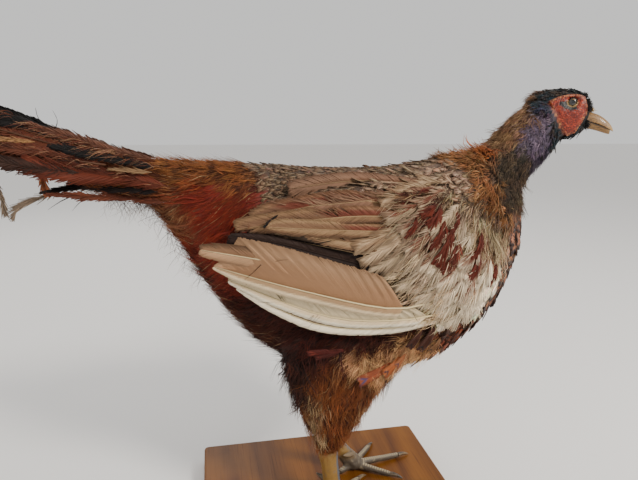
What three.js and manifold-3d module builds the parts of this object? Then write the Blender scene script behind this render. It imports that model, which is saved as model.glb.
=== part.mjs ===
// A mounted cock pheasant, life size, standing on its varnished board. Millimetres, +Z up,
// +X towards the head, +Y towards the bird's left side. The origin is the centre of the
// board's underside.
import * as THREE from "three";
import { mergeVertices, toCreasedNormals } from "three/addons/utils/BufferGeometryUtils.js";
import Module from "manifold-3d";

const wasm = await Module();
wasm.setup();

// Driving sizes.
const gap = 0.3; // clearance between neighbouring pieces
const board = { length: 240, width: 180, thick: 18, corner: 5, ease: 2 };
const boardTop = board.thick;

// Outline of the plumage, from the root of the tail to the breast.
const trunkRows = [
  { x: -150, top: 344, bottom: 299, half: 18 },
  { x: -122, top: 341, bottom: 256, half: 29 },
  { x: -90, top: 340.5, bottom: 203, half: 40 },
  { x: -50, top: 339, bottom: 164, half: 49 },
  { x: 0, top: 335.5, bottom: 148, half: 55 },
  { x: 50, top: 336, bottom: 139, half: 57 },
  { x: 90, top: 341, bottom: 145, half: 56 },
  { x: 125, top: 347, bottom: 162, half: 51 },
  { x: 153, top: 345, bottom: 186, half: 42 },
  { x: 174, top: 334, bottom: 216, half: 30 },
  { x: 185, top: 318, bottom: 246, half: 18 },
  { x: 189, top: 300, bottom: 268, half: 6 },
];
const trunkFullness = 2.25; // exponent of the cross-section: 2 is an ellipse
const trunkMiddle = 0.52; // height of a section's widest line, as a share of its depth

// The neck rises out of the shoulders and bends towards the bird's right.
const neckRows = [
  { x: 132, y: 0, z: 305, deep: 37, wide: 38 },
  { x: 156, y: 0, z: 322, deep: 32, wide: 32 },
  { x: 173, y: -3, z: 339, deep: 28.5, wide: 27 },
  { x: 185.5, y: -8, z: 356, deep: 27, wide: 23 },
  { x: 198.5, y: -12, z: 370.5, deep: 26, wide: 20 },
  { x: 206, y: -14, z: 384, deep: 20, wide: 16 },
];

// The head, measured from the point midway between the eyes, along its own forward axis.
const head = { x: 224, y: -14, z: 389, turn: 28 }; // turned to the right, in degrees
const headRows = [
  { x: -39, top: 0, bottom: -15, half: 7 },
  { x: -33, top: 8.5, bottom: -22, half: 13 },
  { x: -22, top: 13, bottom: -27, half: 17 },
  { x: -9, top: 14, bottom: -33, half: 18 },
  { x: 3, top: 13, bottom: -32, half: 16.5 },
  { x: 10, top: 10, bottom: -28, half: 13 },
  { x: 15.5, top: 4, bottom: -24, half: 9.5 },
  { x: 19.5, top: -4, bottom: -21, half: 6 },
];
const eye = { radius: 5.4, side: 11.6 };
const bareFace = { thick: 1.8, rear: -20, front: 14.5, top: 8, lobe: -30, reach: 30 };
const bill = {
  base: 12, tip: 38, rise: -5.5, mouth: -14.5, tipDrop: -25.5, half: 6.2,
  lowerTip: 35, lowerWide: 0.85, lowerDeep: 0.62, curl: 1.35, edge: 0.15,
};

const wing = { thick: 11, inset: 0.45, fullness: 2.3 };
const wingRows = [
  { x: 151, top: 244, bottom: 226 },
  { x: 144, top: 270, bottom: 205 },
  { x: 122, top: 300, bottom: 191 },
  { x: 88, top: 321, bottom: 190 },
  { x: 44, top: 327, bottom: 230 },
  { x: 2, top: 324, bottom: 247 },
  { x: -36, top: 313, bottom: 263 },
  { x: -66, top: 299, bottom: 275 },
  { x: -84, top: 289, bottom: 283 },
];
// Outer flight feathers: root and tip of the highest, and how far each next one is shifted.
const primary = {
  count: 4, wide: 24, thick: 1.8, bulge: 5, tuck: 0.4, bow: 5,
  root: { x: 48, z: 241, stepX: 11, stepZ: -11.5 },
  tip: { x: -114, z: 270, stepX: 10, stepZ: -9.5, side: 46 },
};

const tail = {
  rootX: -176, rootZ: 351, rise: 25, arch: 18, droop: 56, // the ridge
  slope: 60, wide: 34, thick: 1.8, layer: 2.3, // the roof-shaped fan, in layers
  inset: 8, step: 4,
  feathers: [
    { length: 425, spread: 0 },
    { length: 378, spread: 4 },
    { length: 300, spread: 8 },
    { length: 222, spread: 12 },
    { length: 140, spread: 17 },
  ],
};
const tailCovert = { length: 90, rise: 16.5, tall: 21.5, tallEnd: 23, wide: 18 };

const legs = [
  { side: "right", footX: 1, footY: -25, heelX: -5, heelY: -28, hipX: 11, hipY: -27, toesTurn: -6 },
  { side: "left", footX: 33, footY: 18, heelX: -7, heelY: 22, hipX: 54, hipY: 26, toesTurn: 12 },
];
const heelZ = boardTop + 60;
const tarsus = { thin: 6, knob: 8, flat: 0.75, tuck: 6 };
const toe = { thick: 4.1, tipThick: 2.6, claw: 13, ball: 5.9, ballFlat: 0.85, start: 5, pads: 0.07 };
const toes = [
  { name: "inner", angle: 42, length: 33 },
  { name: "middle", angle: 0, length: 48 },
  { name: "outer", angle: -40, length: 35 },
  { name: "hind", angle: 172, length: 13 },
];
const spur = { up: 20, length: 15, radius: 3.6, behind: 3.4, inside: 2.6, lift: 4, tip: 0.4 };

// Materials, one for each finish.
const finish = (color, roughness) => new THREE.MeshStandardMaterial({ color, roughness, metalness: 0 });
const plumage = finish(0x6e4a33, 0.8);
const neckPlumage = finish(0x2f2b33, 0.6);
const wingPlumage = finish(0x9a8468, 0.8);
const quill = finish(0xb39a78, 0.7);
const tailPlumage = finish(0x8a5434, 0.75);
const thighPlumage = finish(0x5a3a28, 0.85);
const faceSkin = finish(0xa8382c, 0.7);
const glass = finish(0x1a1408, 0.08);
const horn = finish(0xb59a70, 0.45);
const legSkin = finish(0x7d7350, 0.6);
const claw = finish(0x3a342c, 0.4);
const varnish = finish(0x9a5a2a, 0.25);

// Helpers.
const degrees = THREE.MathUtils.degToRad;

// Catmull-Rom blend of rows of numbers at t from 0 to 1.
function rowAt(rows, t) {
  const last = rows.length - 1;
  const i = Math.min(Math.floor(t * last), last - 1);
  const u = t * last - i;
  const [a, b, c, d] = [i - 1, i, i + 1, i + 2].map((k) => rows[Math.min(Math.max(k, 0), last)]);
  const row = {};
  for (const key of Object.keys(b)) {
    const [p, q, r, s] = [a[key], b[key], c[key], d[key]];
    row[key] = q + 0.5 * u * (r - p + u * (2 * p - 5 * q + 4 * r - s + u * (3 * (q - r) + s - p)));
  }
  return row;
}

const steps = (count, make) => Array.from({ length: count + 1 }, (_, i) => make(i / count));

// A ring of points in the plane of two unit vectors, with its own reach across, up and down.
function ring(centre, across, up, half, rise, drop, sides, power = 2) {
  return Array.from({ length: sides }, (_, i) => {
    const angle = (2 * Math.PI * i) / sides;
    const [c, s] = [Math.cos(angle), Math.sin(angle)];
    const a = Math.sign(c) * Math.abs(c) ** (2 / power) * half;
    const b = Math.sign(s) * Math.abs(s) ** (2 / power) * (s > 0 ? rise : drop);
    return centre.clone().addScaledVector(across, a).addScaledVector(up, b);
  });
}

// A closed solid through rings of equal size, capped at both ends.
function loft(rings) {
  const n = rings[0].length;
  const points = rings.flat();
  const faces = [];
  for (let k = 0; k + 1 < rings.length; k++)
    for (let i = 0; i < n; i++) {
      const [a, b] = [k * n + i, k * n + ((i + 1) % n)];
      faces.push(a, b, b + n, a, b + n, a + n);
    }
  for (const [first, turn] of [[0, 1], [(rings.length - 1) * n, 0]]) {
    const middle = new THREE.Vector3();
    for (let i = 0; i < n; i++) middle.addScaledVector(points[first + i], 1 / n);
    points.push(middle);
    for (let i = 0; i < n; i++) {
      const [a, b] = [first + i, first + ((i + 1) % n)];
      faces.push(points.length - 1, turn ? b : a, turn ? a : b);
    }
  }
  return solid(points, faces);
}

// A manifold solid from points and triangles, turned right side out.
function solid(points, faces) {
  const geometry = new THREE.BufferGeometry().setFromPoints(points);
  geometry.setIndex(faces);
  return solidOf(geometry);
}

function solidOf(geometry) {
  const bare = geometry.clone();
  for (const name of ["normal", "uv"]) bare.deleteAttribute(name);
  const merged = mergeVertices(bare, 1e-4);
  const triVerts = new Uint32Array(merged.index.array);
  const p = merged.attributes.position;
  const [a, b, c] = [new THREE.Vector3(), new THREE.Vector3(), new THREE.Vector3()];
  let volume = 0;
  for (let i = 0; i < triVerts.length; i += 3) {
    [a, b, c].forEach((v, k) => v.fromBufferAttribute(p, triVerts[i + k]));
    volume += a.dot(b.cross(c));
  }
  if (volume < 0)
    for (let i = 0; i < triVerts.length; i += 3)
      [triVerts[i + 1], triVerts[i + 2]] = [triVerts[i + 2], triVerts[i + 1]];
  return new wasm.Manifold(new wasm.Mesh({ numProp: 3, vertProperties: p.array, triVerts }));
}

const joined = (parts) => parts.reduce((sum, part) => sum.add(part));
const without = (part, ...others) => others.reduce((rest, other) => rest.subtract(other), part);
const placed = (part, matrix) => part.transform(matrix.elements);

// A part grown by the clearance, near enough, as the sum of its shifted copies.
function swell(part) {
  const axes = [[gap, 0, 0], [0, gap, 0], [0, 0, gap]];
  const shifts = axes.flatMap((shift) => [shift, shift.map((value) => -value)]);
  return joined([part, ...shifts.map((shift) => part.translate(shift))]);
}

const group = new THREE.Group();

function addMesh(name, part, material) {
  const made = part.getMesh();
  const geometry = new THREE.BufferGeometry();
  geometry.setAttribute("position", new THREE.BufferAttribute(new Float32Array(made.vertProperties), 3));
  geometry.setIndex(new THREE.BufferAttribute(made.triVerts, 1));
  const mesh = new THREE.Mesh(toCreasedNormals(geometry, 0.7), material.clone());
  mesh.name = name;
  group.add(mesh);
  return part;
}

// A rod of round or oval rings along a curve, its radius a function of the way along.
function taper(path, radius, sides, count, flat = 1) {
  const side = new THREE.Vector3(0, 1, 0);
  return loft(
    steps(count, (t) => {
      const along = path.getTangentAt(Math.min(Math.max(t, 0.01), 0.99));
      const up = new THREE.Vector3().crossVectors(along, side).normalize();
      const across = new THREE.Vector3().crossVectors(up, along).normalize();
      const r = radius(t);
      return ring(path.getPointAt(t), across, up, r * flat, r, r, sides);
    }),
  );
}

// One long feather: a thin blade, widest past its middle, with a raised shaft.
function blade(path, face, wide, thick, count, tipShare = 0.25) {
  return loft(
    steps(count, (t) => {
      const along = path.getTangentAt(t);
      const across = new THREE.Vector3().crossVectors(face, along).normalize();
      const up = new THREE.Vector3().crossVectors(along, across).normalize();
      const grow = Math.min(1, 0.35 + 1.6 * t);
      const past = Math.max(0, (t - 1 + tipShare) / tipShare);
      const shrink = Math.sqrt(Math.max(0, 1 - past ** 2));
      const half = Math.max(0.6, (wide / 2) * grow * shrink);
      return ring(path.getPointAt(t), across, up, half, thick * 0.6, thick * 0.4, 6);
    }),
  );
}

// Sub-parts.
function boardSolid() {
  const [x, y] = [board.length / 2 - board.ease, board.width / 2 - board.ease];
  const r = board.corner - board.ease;
  const outline = new THREE.Shape();
  outline.moveTo(-x + r, -y).lineTo(x - r, -y).absarc(x - r, -y + r, r, -Math.PI / 2, 0);
  outline.lineTo(x, y - r).absarc(x - r, y - r, r, 0, Math.PI / 2);
  outline.lineTo(-x + r, y).absarc(-x + r, y - r, r, Math.PI / 2, Math.PI);
  outline.lineTo(-x, -y + r).absarc(-x + r, -y + r, r, Math.PI, 1.5 * Math.PI);
  const made = new THREE.ExtrudeGeometry(outline, {
    depth: board.thick - 2 * board.ease,
    bevelSize: board.ease,
    bevelThickness: board.ease,
    bevelSegments: 2,
    curveSegments: 3,
  });
  made.translate(0, 0, board.ease);
  return solidOf(made);
}

function trunkSolid(grow = 0) {
  const [across, up] = [new THREE.Vector3(0, 1, 0), new THREE.Vector3(0, 0, 1)];
  return loft(
    steps(17, (t) => {
      const row = rowAt(trunkRows, t);
      const lean = grow * (2 * t - 1) ** 5; // the ends grow along X as well
      const middle = row.bottom + (row.top - row.bottom) * trunkMiddle;
      const centre = new THREE.Vector3(row.x + lean, 0, middle);
      const [rise, drop] = [row.top - middle + grow, middle - row.bottom + grow];
      return ring(centre, across, up, row.half + grow, rise, drop, 20, trunkFullness);
    }),
  );
}

function neckSolid(grow = 0) {
  const side = new THREE.Vector3(0, 1, 0);
  const spine = new THREE.CatmullRomCurve3(neckRows.map((row) => new THREE.Vector3(row.x, row.y, row.z)));
  return loft(
    steps(7, (t) => {
      const row = rowAt(neckRows, t);
      const along = spine.getTangent(t);
      const up = new THREE.Vector3().crossVectors(along, side).normalize();
      const across = new THREE.Vector3().crossVectors(up, along).normalize();
      return ring(spine.getPoint(t), across, up, row.wide + grow, row.deep + grow, row.deep + grow, 14);
    }),
  );
}

const headPlace = new THREE.Matrix4()
  .makeTranslation(head.x, head.y, head.z)
  .multiply(new THREE.Matrix4().makeRotationZ(-degrees(head.turn)));

function headSolid(grow = 0) {
  const [across, up] = [new THREE.Vector3(0, 1, 0), new THREE.Vector3(0, 0, 1)];
  const made = loft(
    steps(10, (t) => {
      const row = rowAt(headRows, t);
      const middle = (row.top + row.bottom) / 2 + 1;
      const centre = new THREE.Vector3(row.x + grow * (2 * t - 1), 0, middle);
      const [rise, drop] = [row.top - middle + grow, middle - row.bottom + grow];
      return ring(centre, across, up, row.half + grow, rise, drop, 16);
    }),
  );
  return placed(made, headPlace);
}

function eyeSolid(side, grow = 0) {
  const ball = new THREE.SphereGeometry(eye.radius + grow, 12, 8).rotateX(Math.PI / 2);
  ball.translate(0, side * eye.side, 0);
  return placed(solidOf(ball), headPlace);
}

// The bare red skin of the cheek: a rounded diamond with a lobe hanging below the eye.
function faceSolid(side) {
  const { rear, front, top, lobe, reach } = bareFace;
  const outline = new THREE.Shape();
  outline.moveTo(rear, 1);
  outline.quadraticCurveTo(-8, top + 1, 3, top).quadraticCurveTo(12, top - 1, front, -8);
  outline.lineTo(front, -14).quadraticCurveTo(9, -16, 8, -22).quadraticCurveTo(3, lobe - 1, -3, lobe + 1);
  outline.quadraticCurveTo(-10, -22, -10, -13).quadraticCurveTo(-14, -5, rear, 1);
  const plate = new THREE.ExtrudeGeometry(outline, {
    depth: reach,
    bevelEnabled: false,
    curveSegments: 3,
  });
  plate.rotateX(Math.PI / 2);
  if (side > 0) plate.translate(0, reach, 0);
  const window = placed(solidOf(plate), headPlace);
  return without(headSolid(bareFace.thick).intersect(window), headSolid(gap), eyeSolid(side, gap));
}

// Half of the bill, its upper or lower blade: a tapering hook, flat along the mouth line.
function billSolid(upper) {
  const [across, up] = [new THREE.Vector3(0, 1, 0), new THREE.Vector3(0, 0, 1)];
  const tip = upper ? bill.tip : bill.lowerTip;
  const made = loft(
    steps(7, (t) => {
      const x = bill.base + (tip - bill.base) * Math.sin((t * Math.PI) / 2);
      const share = (x - bill.base) / (bill.tip - bill.base);
      const mouth = bill.mouth + (bill.tipDrop - bill.mouth) * share ** bill.curl;
      const half = Math.max(0.5, bill.half * Math.sqrt(1 - share ** 2.2));
      const tall = Math.max(0.7, (bill.mouth - bill.rise) * -Math.sqrt(1 - share ** 3.2));
      const centre = new THREE.Vector3(x, 0, mouth + (upper ? gap : -gap));
      const lowerHalf = half * bill.lowerWide;
      return upper
        ? ring(centre, across, up, half, tall, bill.edge, 10)
        : ring(centre, across, up, lowerHalf, bill.edge, tall * bill.lowerDeep + 0.6, 10);
    }),
  );
  return without(placed(made, headPlace), headSolid(gap));
}

// Half width of the trunk at a place along it.
function halfAt(x) {
  let [low, high] = [0, 1];
  for (let i = 0; i < 24; i++) {
    const t = (low + high) / 2;
    if (rowAt(trunkRows, t).x < x) low = t;
    else high = t;
  }
  return rowAt(trunkRows, low).half;
}

// The folded wing over the side: coverts, scapulars and inner flight feathers as one swelling form.
function wingForm(side, grow = 0) {
  const [across, up] = [new THREE.Vector3(0, side, 0), new THREE.Vector3(0, 0, 1)];
  return loft(
    steps(13, (t) => {
      const row = rowAt(wingRows, t);
      const inset = halfAt(row.x) * wing.inset;
      const outer = halfAt(row.x) + wing.thick * Math.sqrt(Math.sin(Math.PI * (0.12 + t * 0.75)));
      const tall = (row.top - row.bottom) / 2;
      const centre = new THREE.Vector3(row.x + grow * (1 - 2 * t), side * inset, row.bottom + tall);
      return ring(centre, across, up, outer - inset + grow, tall + grow, tall + grow, 16, wing.fullness);
    }),
  );
}

const wingSolid = (side) => without(wingForm(side), trunkSolid(gap), neckSolid(gap));

// The outer flight feathers, fanned out behind and below the wing's coverts.
function primariesSolid(side) {
  const face = new THREE.Vector3(0, side, 0);
  const { root, tip } = primary;
  const blades = Array.from({ length: primary.count }, (_, k) => {
    const [rootX, tipX] = [root.x + root.stepX * k, tip.x + tip.stepX * k];
    const inward = primary.tuck * k;
    const rootY = side * (halfAt(rootX) + primary.bulge - inward);
    const from = new THREE.Vector3(rootX, rootY, root.z + root.stepZ * k);
    const to = new THREE.Vector3(tipX, side * (tip.side - inward), tip.z + tip.stepZ * k);
    const middle = from.clone().lerp(to, 0.5).add(new THREE.Vector3(0, side * primary.bow, -2 - 2 * k));
    const path = new THREE.QuadraticBezierCurve3(from, middle, to);
    return blade(path, face, primary.wide, primary.thick, 5, 0.2);
  });
  return without(joined(blades), wingForm(side, gap), trunkSolid(gap));
}

const tailRise = degrees(tail.rise);
const tailAlong = new THREE.Vector3(-Math.cos(tailRise), 0, Math.sin(tailRise));

// The coverts round the root of the tail.
function tailCovertSolid(grow = 0) {
  const [across, up] = [new THREE.Vector3(0, 1, 0), new THREE.Vector3(0, 0, 1)];
  const root = new THREE.Vector3(trunkRows[0].x - gap, 0, (trunkRows[0].top + trunkRows[0].bottom) / 2);
  const rise = degrees(tailCovert.rise);
  const along = new THREE.Vector3(-Math.cos(rise), 0, Math.sin(rise));
  return loft(
    steps(5, (t) => {
      const share = Math.sqrt(1 - 0.85 * t ** 4);
      const tall = (tailCovert.tall + (tailCovert.tallEnd - tailCovert.tall) * t) * share + grow;
      const centre = root.clone().addScaledVector(along, tailCovert.length * t + grow * t);
      return ring(centre, across, up, tailCovert.wide * share + grow, tall, tall, 14);
    }),
  );
}

// One long tail feather. Pair 0 lies along the ridge; each next pair is shorter and lower down the slope.
function tailFeatherSolid(pair, side) {
  const slope = degrees(tail.slope);
  const down = new THREE.Vector3(0, side * Math.cos(slope), -Math.sin(slope));
  down.addScaledVector(tailAlong, -down.dot(tailAlong)).normalize();
  const face = new THREE.Vector3().crossVectors(down, tailAlong).multiplyScalar(-side).normalize();
  const { length, spread } = tail.feathers[pair];
  const heading = tailAlong
    .clone()
    .multiplyScalar(Math.cos(degrees(spread)))
    .addScaledVector(down, Math.sin(degrees(spread)));
  const root = new THREE.Vector3(tail.rootX, 0, tail.rootZ)
    .addScaledVector(down, tail.inset + tail.step * pair)
    .addScaledVector(face, -tail.layer * pair);
  const tip = root.clone().addScaledVector(heading, length);
  const middle = root.clone().lerp(tip, 0.5);
  const bow = (length / tail.feathers[0].length) ** 2;
  tip.z -= tail.droop * bow;
  middle.z += (tail.arch - tail.droop / 2) * bow;
  const path = new THREE.QuadraticBezierCurve3(root, middle, tip);
  const whole = blade(path, face, tail.wide, tail.thick, 8, 0.6);
  const reach = 2000; // a box that covers the whole of one side
  const half = new THREE.BoxGeometry(reach, reach, reach).translate(0, (side * (reach + gap)) / 2, 0);
  return without(whole.intersect(solidOf(half)), tailCovertSolid(gap));
}

// The feathered shank above the heel, a ragged cone that narrows down to the joint.
function thighSolid(leg, grow = 0) {
  const rows = [
    { x: leg.hipX, y: leg.hipY, z: 190, long: 64, wide: 27 },
    { x: leg.hipX, y: leg.hipY, z: 160, long: 60, wide: 26 },
    { x: leg.hipX - 8, y: leg.hipY - 1, z: 128, long: 41, wide: 22 },
    { x: (leg.hipX + 2 * leg.heelX) / 3 - 1, y: leg.heelY, z: 101, long: 27, wide: 16 },
    { x: leg.heelX + 2, y: leg.heelY, z: heelZ + 8, long: 16.5, wide: 11.5 },
    { x: leg.heelX, y: leg.heelY, z: heelZ - tarsus.tuck, long: 9.5, wide: 8 },
  ];
  const [forward, left] = [new THREE.Vector3(1, 0, 0), new THREE.Vector3(0, 1, 0)];
  const made = loft(
    steps(8, (t) => {
      const row = rowAt(rows, t);
      const centre = new THREE.Vector3(row.x, row.y, row.z - grow * t);
      return ring(centre, forward, left, row.long + grow, row.wide + grow, row.wide + grow, 14);
    }),
  );
  return without(made, trunkSolid(gap));
}

function tarsusRod(leg, grow = 0) {
  const heel = new THREE.Vector3(leg.heelX, leg.heelY, heelZ - tarsus.tuck);
  const ankle = new THREE.Vector3(leg.footX, leg.footY, boardTop + gap + toe.thick * 1.6);
  const radius = (t) => tarsus.thin + (tarsus.knob - tarsus.thin) * (2 * t - 1) ** 4 + grow;
  return taper(new THREE.LineCurve3(heel, ankle), radius, 8, 4, tarsus.flat);
}

const tarsusSolid = (leg) => without(tarsusRod(leg), thighSolid(leg, gap), swell(footSolid(leg)));

// One toe from the ball of the foot to the root of its claw, slightly arched at each joint.
function toePath(leg, { angle, length }) {
  const heading = degrees(angle * (leg.side === "left" ? -1 : 1) + leg.toesTurn);
  const out = new THREE.Vector3(Math.cos(heading), Math.sin(heading), 0);
  const centre = new THREE.Vector3(leg.footX, leg.footY, boardTop + gap);
  const at = (reach, z) => centre.clone().addScaledVector(out, reach).add(new THREE.Vector3(0, 0, z));
  return new THREE.CatmullRomCurve3([
    at(0, toe.thick + 1.5),
    at(toe.start + length * 0.35, toe.thick + 0.6),
    at(toe.start + length * 0.7, (toe.thick + toe.tipThick) / 2),
    at(toe.start + length, toe.tipThick),
  ]);
}

function footSolid(leg) {
  const ball = new THREE.SphereGeometry(toe.ball, 8, 6).scale(1.15, 1.05, toe.ballFlat);
  ball.translate(leg.footX, leg.footY, boardTop + gap + toe.ball * toe.ballFlat);
  const parts = toes.map((one) => {
    const pad = (t) => 1 + toe.pads * Math.cos(6 * Math.PI * t); // the joints swell a little
    const radius = (t) => (toe.thick + (toe.tipThick - toe.thick) * t) * pad(t);
    return taper(toePath(leg, one), radius, 6, 4);
  });
  const foot = joined([solidOf(ball), ...parts]);
  return without(foot, boardShadow);
}

// What lies below the board's top, with the clearance: it flattens what rests there.
const boardShadow = solidOf(
  new THREE.BoxGeometry(board.length * 2, board.width * 2, 40).translate(0, 0, boardTop + gap - 20),
);

function clawSolid(leg, one) {
  const path = toePath(leg, one);
  const tip = path.getPointAt(1);
  const out = path.getTangentAt(1).setZ(0).normalize();
  const start = tip.clone().addScaledVector(out, -gap).setZ(tip.z + 0.2);
  const end = start.clone().addScaledVector(out, toe.claw).setZ(boardTop + gap + 0.6);
  const middle = start.clone().addScaledVector(out, toe.claw * 0.55).add(new THREE.Vector3(0, 0, 1.4));
  const curve = new THREE.QuadraticBezierCurve3(start, middle, end);
  const made = taper(curve, (t) => 0.35 + (toe.tipThick * 0.82 - 0.35) * (1 - t) ** 0.8, 6, 4);
  return without(made, boardShadow, swell(footSolid(leg)));
}

function spurSolid(leg) {
  const inner = leg.side === "left" ? -1 : 1;
  const z = boardTop + spur.up;
  const start = new THREE.Vector3(leg.footX - spur.behind, leg.footY + inner * spur.inside, z);
  const reach = new THREE.Vector3(-spur.length * 0.72, inner * spur.length * 0.5, spur.lift);
  const end = start.clone().add(reach);
  const middle = start.clone().lerp(end, 0.5).add(new THREE.Vector3(0, 0, -1.5));
  const curve = new THREE.QuadraticBezierCurve3(start, middle, end);
  const made = taper(curve, (t) => spur.tip + (spur.radius - spur.tip) * (1 - t) ** 0.7, 6, 4);
  return without(made, tarsusRod(leg, gap));
}

addMesh("base_board", boardSolid(), varnish);
addMesh("trunk", trunkSolid(), plumage);
const cheeks = [-1, 1].map((side) => swell(faceSolid(side)));
addMesh("neck", without(neckSolid(), trunkSolid(gap), headSolid(gap), ...cheeks), neckPlumage);
addMesh("head", without(headSolid(), eyeSolid(-1, gap), eyeSolid(1, gap)), neckPlumage);
addMesh("bill_upper", billSolid(true), horn);
addMesh("bill_lower", billSolid(false), horn);
addMesh("tail_coverts", tailCovertSolid(), plumage);
for (const [name, side] of [["right", -1], ["left", 1]]) {
  addMesh("eye_" + name, eyeSolid(side), glass);
  addMesh("face_" + name, faceSolid(side), faceSkin);
  addMesh("wing_" + name, wingSolid(side), wingPlumage);
  addMesh("primaries_" + name, primariesSolid(side), quill);
  for (const pair of tail.feathers.keys())
    addMesh("tail_feather_" + name + "_" + (pair + 1), tailFeatherSolid(pair, side), tailPlumage);
}
for (const leg of legs) {
  addMesh("thigh_" + leg.side, thighSolid(leg), thighPlumage);
  addMesh("tarsus_" + leg.side, tarsusSolid(leg), legSkin);
  addMesh("foot_" + leg.side, footSolid(leg), legSkin);
  addMesh("spur_" + leg.side, spurSolid(leg), claw);
  for (const one of toes) addMesh("claw_" + leg.side + "_" + one.name, clawSolid(leg, one), claw);
}

export default group;
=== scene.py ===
import math

import bpy
import numpy as np
from mathutils import Matrix, Vector, noise
from mathutils.bvhtree import BVHTree


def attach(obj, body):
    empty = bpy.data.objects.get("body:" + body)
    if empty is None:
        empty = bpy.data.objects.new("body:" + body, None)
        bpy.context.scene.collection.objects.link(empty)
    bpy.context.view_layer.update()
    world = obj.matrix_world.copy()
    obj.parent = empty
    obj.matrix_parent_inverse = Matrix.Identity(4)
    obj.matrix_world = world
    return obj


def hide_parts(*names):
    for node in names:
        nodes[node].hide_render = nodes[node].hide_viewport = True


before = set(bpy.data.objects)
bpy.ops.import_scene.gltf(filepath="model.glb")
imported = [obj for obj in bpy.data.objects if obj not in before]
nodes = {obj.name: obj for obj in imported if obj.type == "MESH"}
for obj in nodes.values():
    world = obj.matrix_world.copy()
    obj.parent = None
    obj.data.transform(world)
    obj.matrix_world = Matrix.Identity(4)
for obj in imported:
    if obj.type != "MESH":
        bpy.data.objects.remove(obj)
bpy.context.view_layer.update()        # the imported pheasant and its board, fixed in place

mm = 0.001
sides = {"right": -1, "left": 1}
print("frame loaded:", len(nodes), "nodes")


def activate(thing):
    bpy.ops.object.select_all(action="DESELECT")
    thing.select_set(True)
    bpy.context.view_layer.objects.active = thing


def applyAll(thing):
    activate(thing)
    for modifier in list(thing.modifiers):
        bpy.ops.object.modifier_apply(modifier=modifier.name)


def shadeSmooth(thing):
    activate(thing)
    bpy.ops.object.shade_smooth()


def smoothing(thing, factor, rounds):
    smooth = thing.modifiers.new("smooth", "SMOOTH")
    smooth.factor = factor
    smooth.iterations = rounds


def blendOf(low, high, value):  # smooth step from 0 at low to 1 at high
    t = np.clip((value - low) / (high - low), 0, 1)
    return t * t * (3 - 2 * t)


def unit(vectors):
    return vectors / np.maximum(np.linalg.norm(vectors, axis=-1, keepdims=True), 1e-9)


def readVectors(items, field):
    flat = np.empty(len(items) * 3)
    items.foreach_get(field, flat)
    return flat.reshape(-1, 3)


def pointsOf(thing):
    return readVectors(thing.data.vertices, "co")


def normalsOf(thing):
    return readVectors(thing.data.vertex_normals, "vector")


def setPoints(thing, points):
    thing.data.vertices.foreach_set("co", np.ascontiguousarray(points).ravel())
    thing.data.update()


def newObject(name, data):
    thing = bpy.data.objects.new(name, data)
    bpy.context.scene.collection.objects.link(thing)
    return thing


def meshOf(name, points, faces):  # an object from arrays of points and of triangles
    mesh = bpy.data.meshes.new(name)
    mesh.vertices.add(len(points))
    mesh.vertices.foreach_set("co", np.ascontiguousarray(points, dtype=np.float32).ravel())
    mesh.loops.add(faces.size)
    mesh.loops.foreach_set("vertex_index", np.ascontiguousarray(faces, dtype=np.int32).ravel())
    mesh.polygons.add(len(faces))
    mesh.polygons.foreach_set("loop_start", np.arange(0, faces.size, 3, dtype=np.int32))
    mesh.update(calc_edges=True)
    return newObject(name, mesh)


def paint(thing, name, kind, values):  # one value for each point of the mesh
    field = {"FLOAT_COLOR": "color", "FLOAT_VECTOR": "vector", "FLOAT": "value"}[kind]
    layer = thing.data.attributes.new(name, kind, "POINT")
    layer.data.foreach_set(field, np.ascontiguousarray(values, dtype=np.float32).ravel())


def roughField(points, scale, seed):  # slow random field, about -1 to 1
    shift = Vector((seed * 7.3, seed * 3.1, seed * 5.7))
    return np.array([noise.noise(Vector(p) / scale + shift) for p in points])


# Shader maths: a wrapped socket takes part in plain expressions.
class Amount:
    def __init__(self, finish, socket):
        self.finish = finish
        self.socket = socket

    def combine(self, operation, *others):
        return self.finish.node("ShaderNodeMath", {"operation": operation}, [self, *others])

    def __add__(self, other):
        return self.combine("ADD", other)

    def __mul__(self, other):
        return self.combine("MULTIPLY", other)

    def __sub__(self, other):
        return self.combine("SUBTRACT", other)

    def __truediv__(self, other):
        return self.combine("DIVIDE", other)

    def __rsub__(self, other):
        return self.finish.node("ShaderNodeMath", {"operation": "SUBTRACT"}, [other, self])

    __radd__ = __add__
    __rmul__ = __mul__


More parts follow.
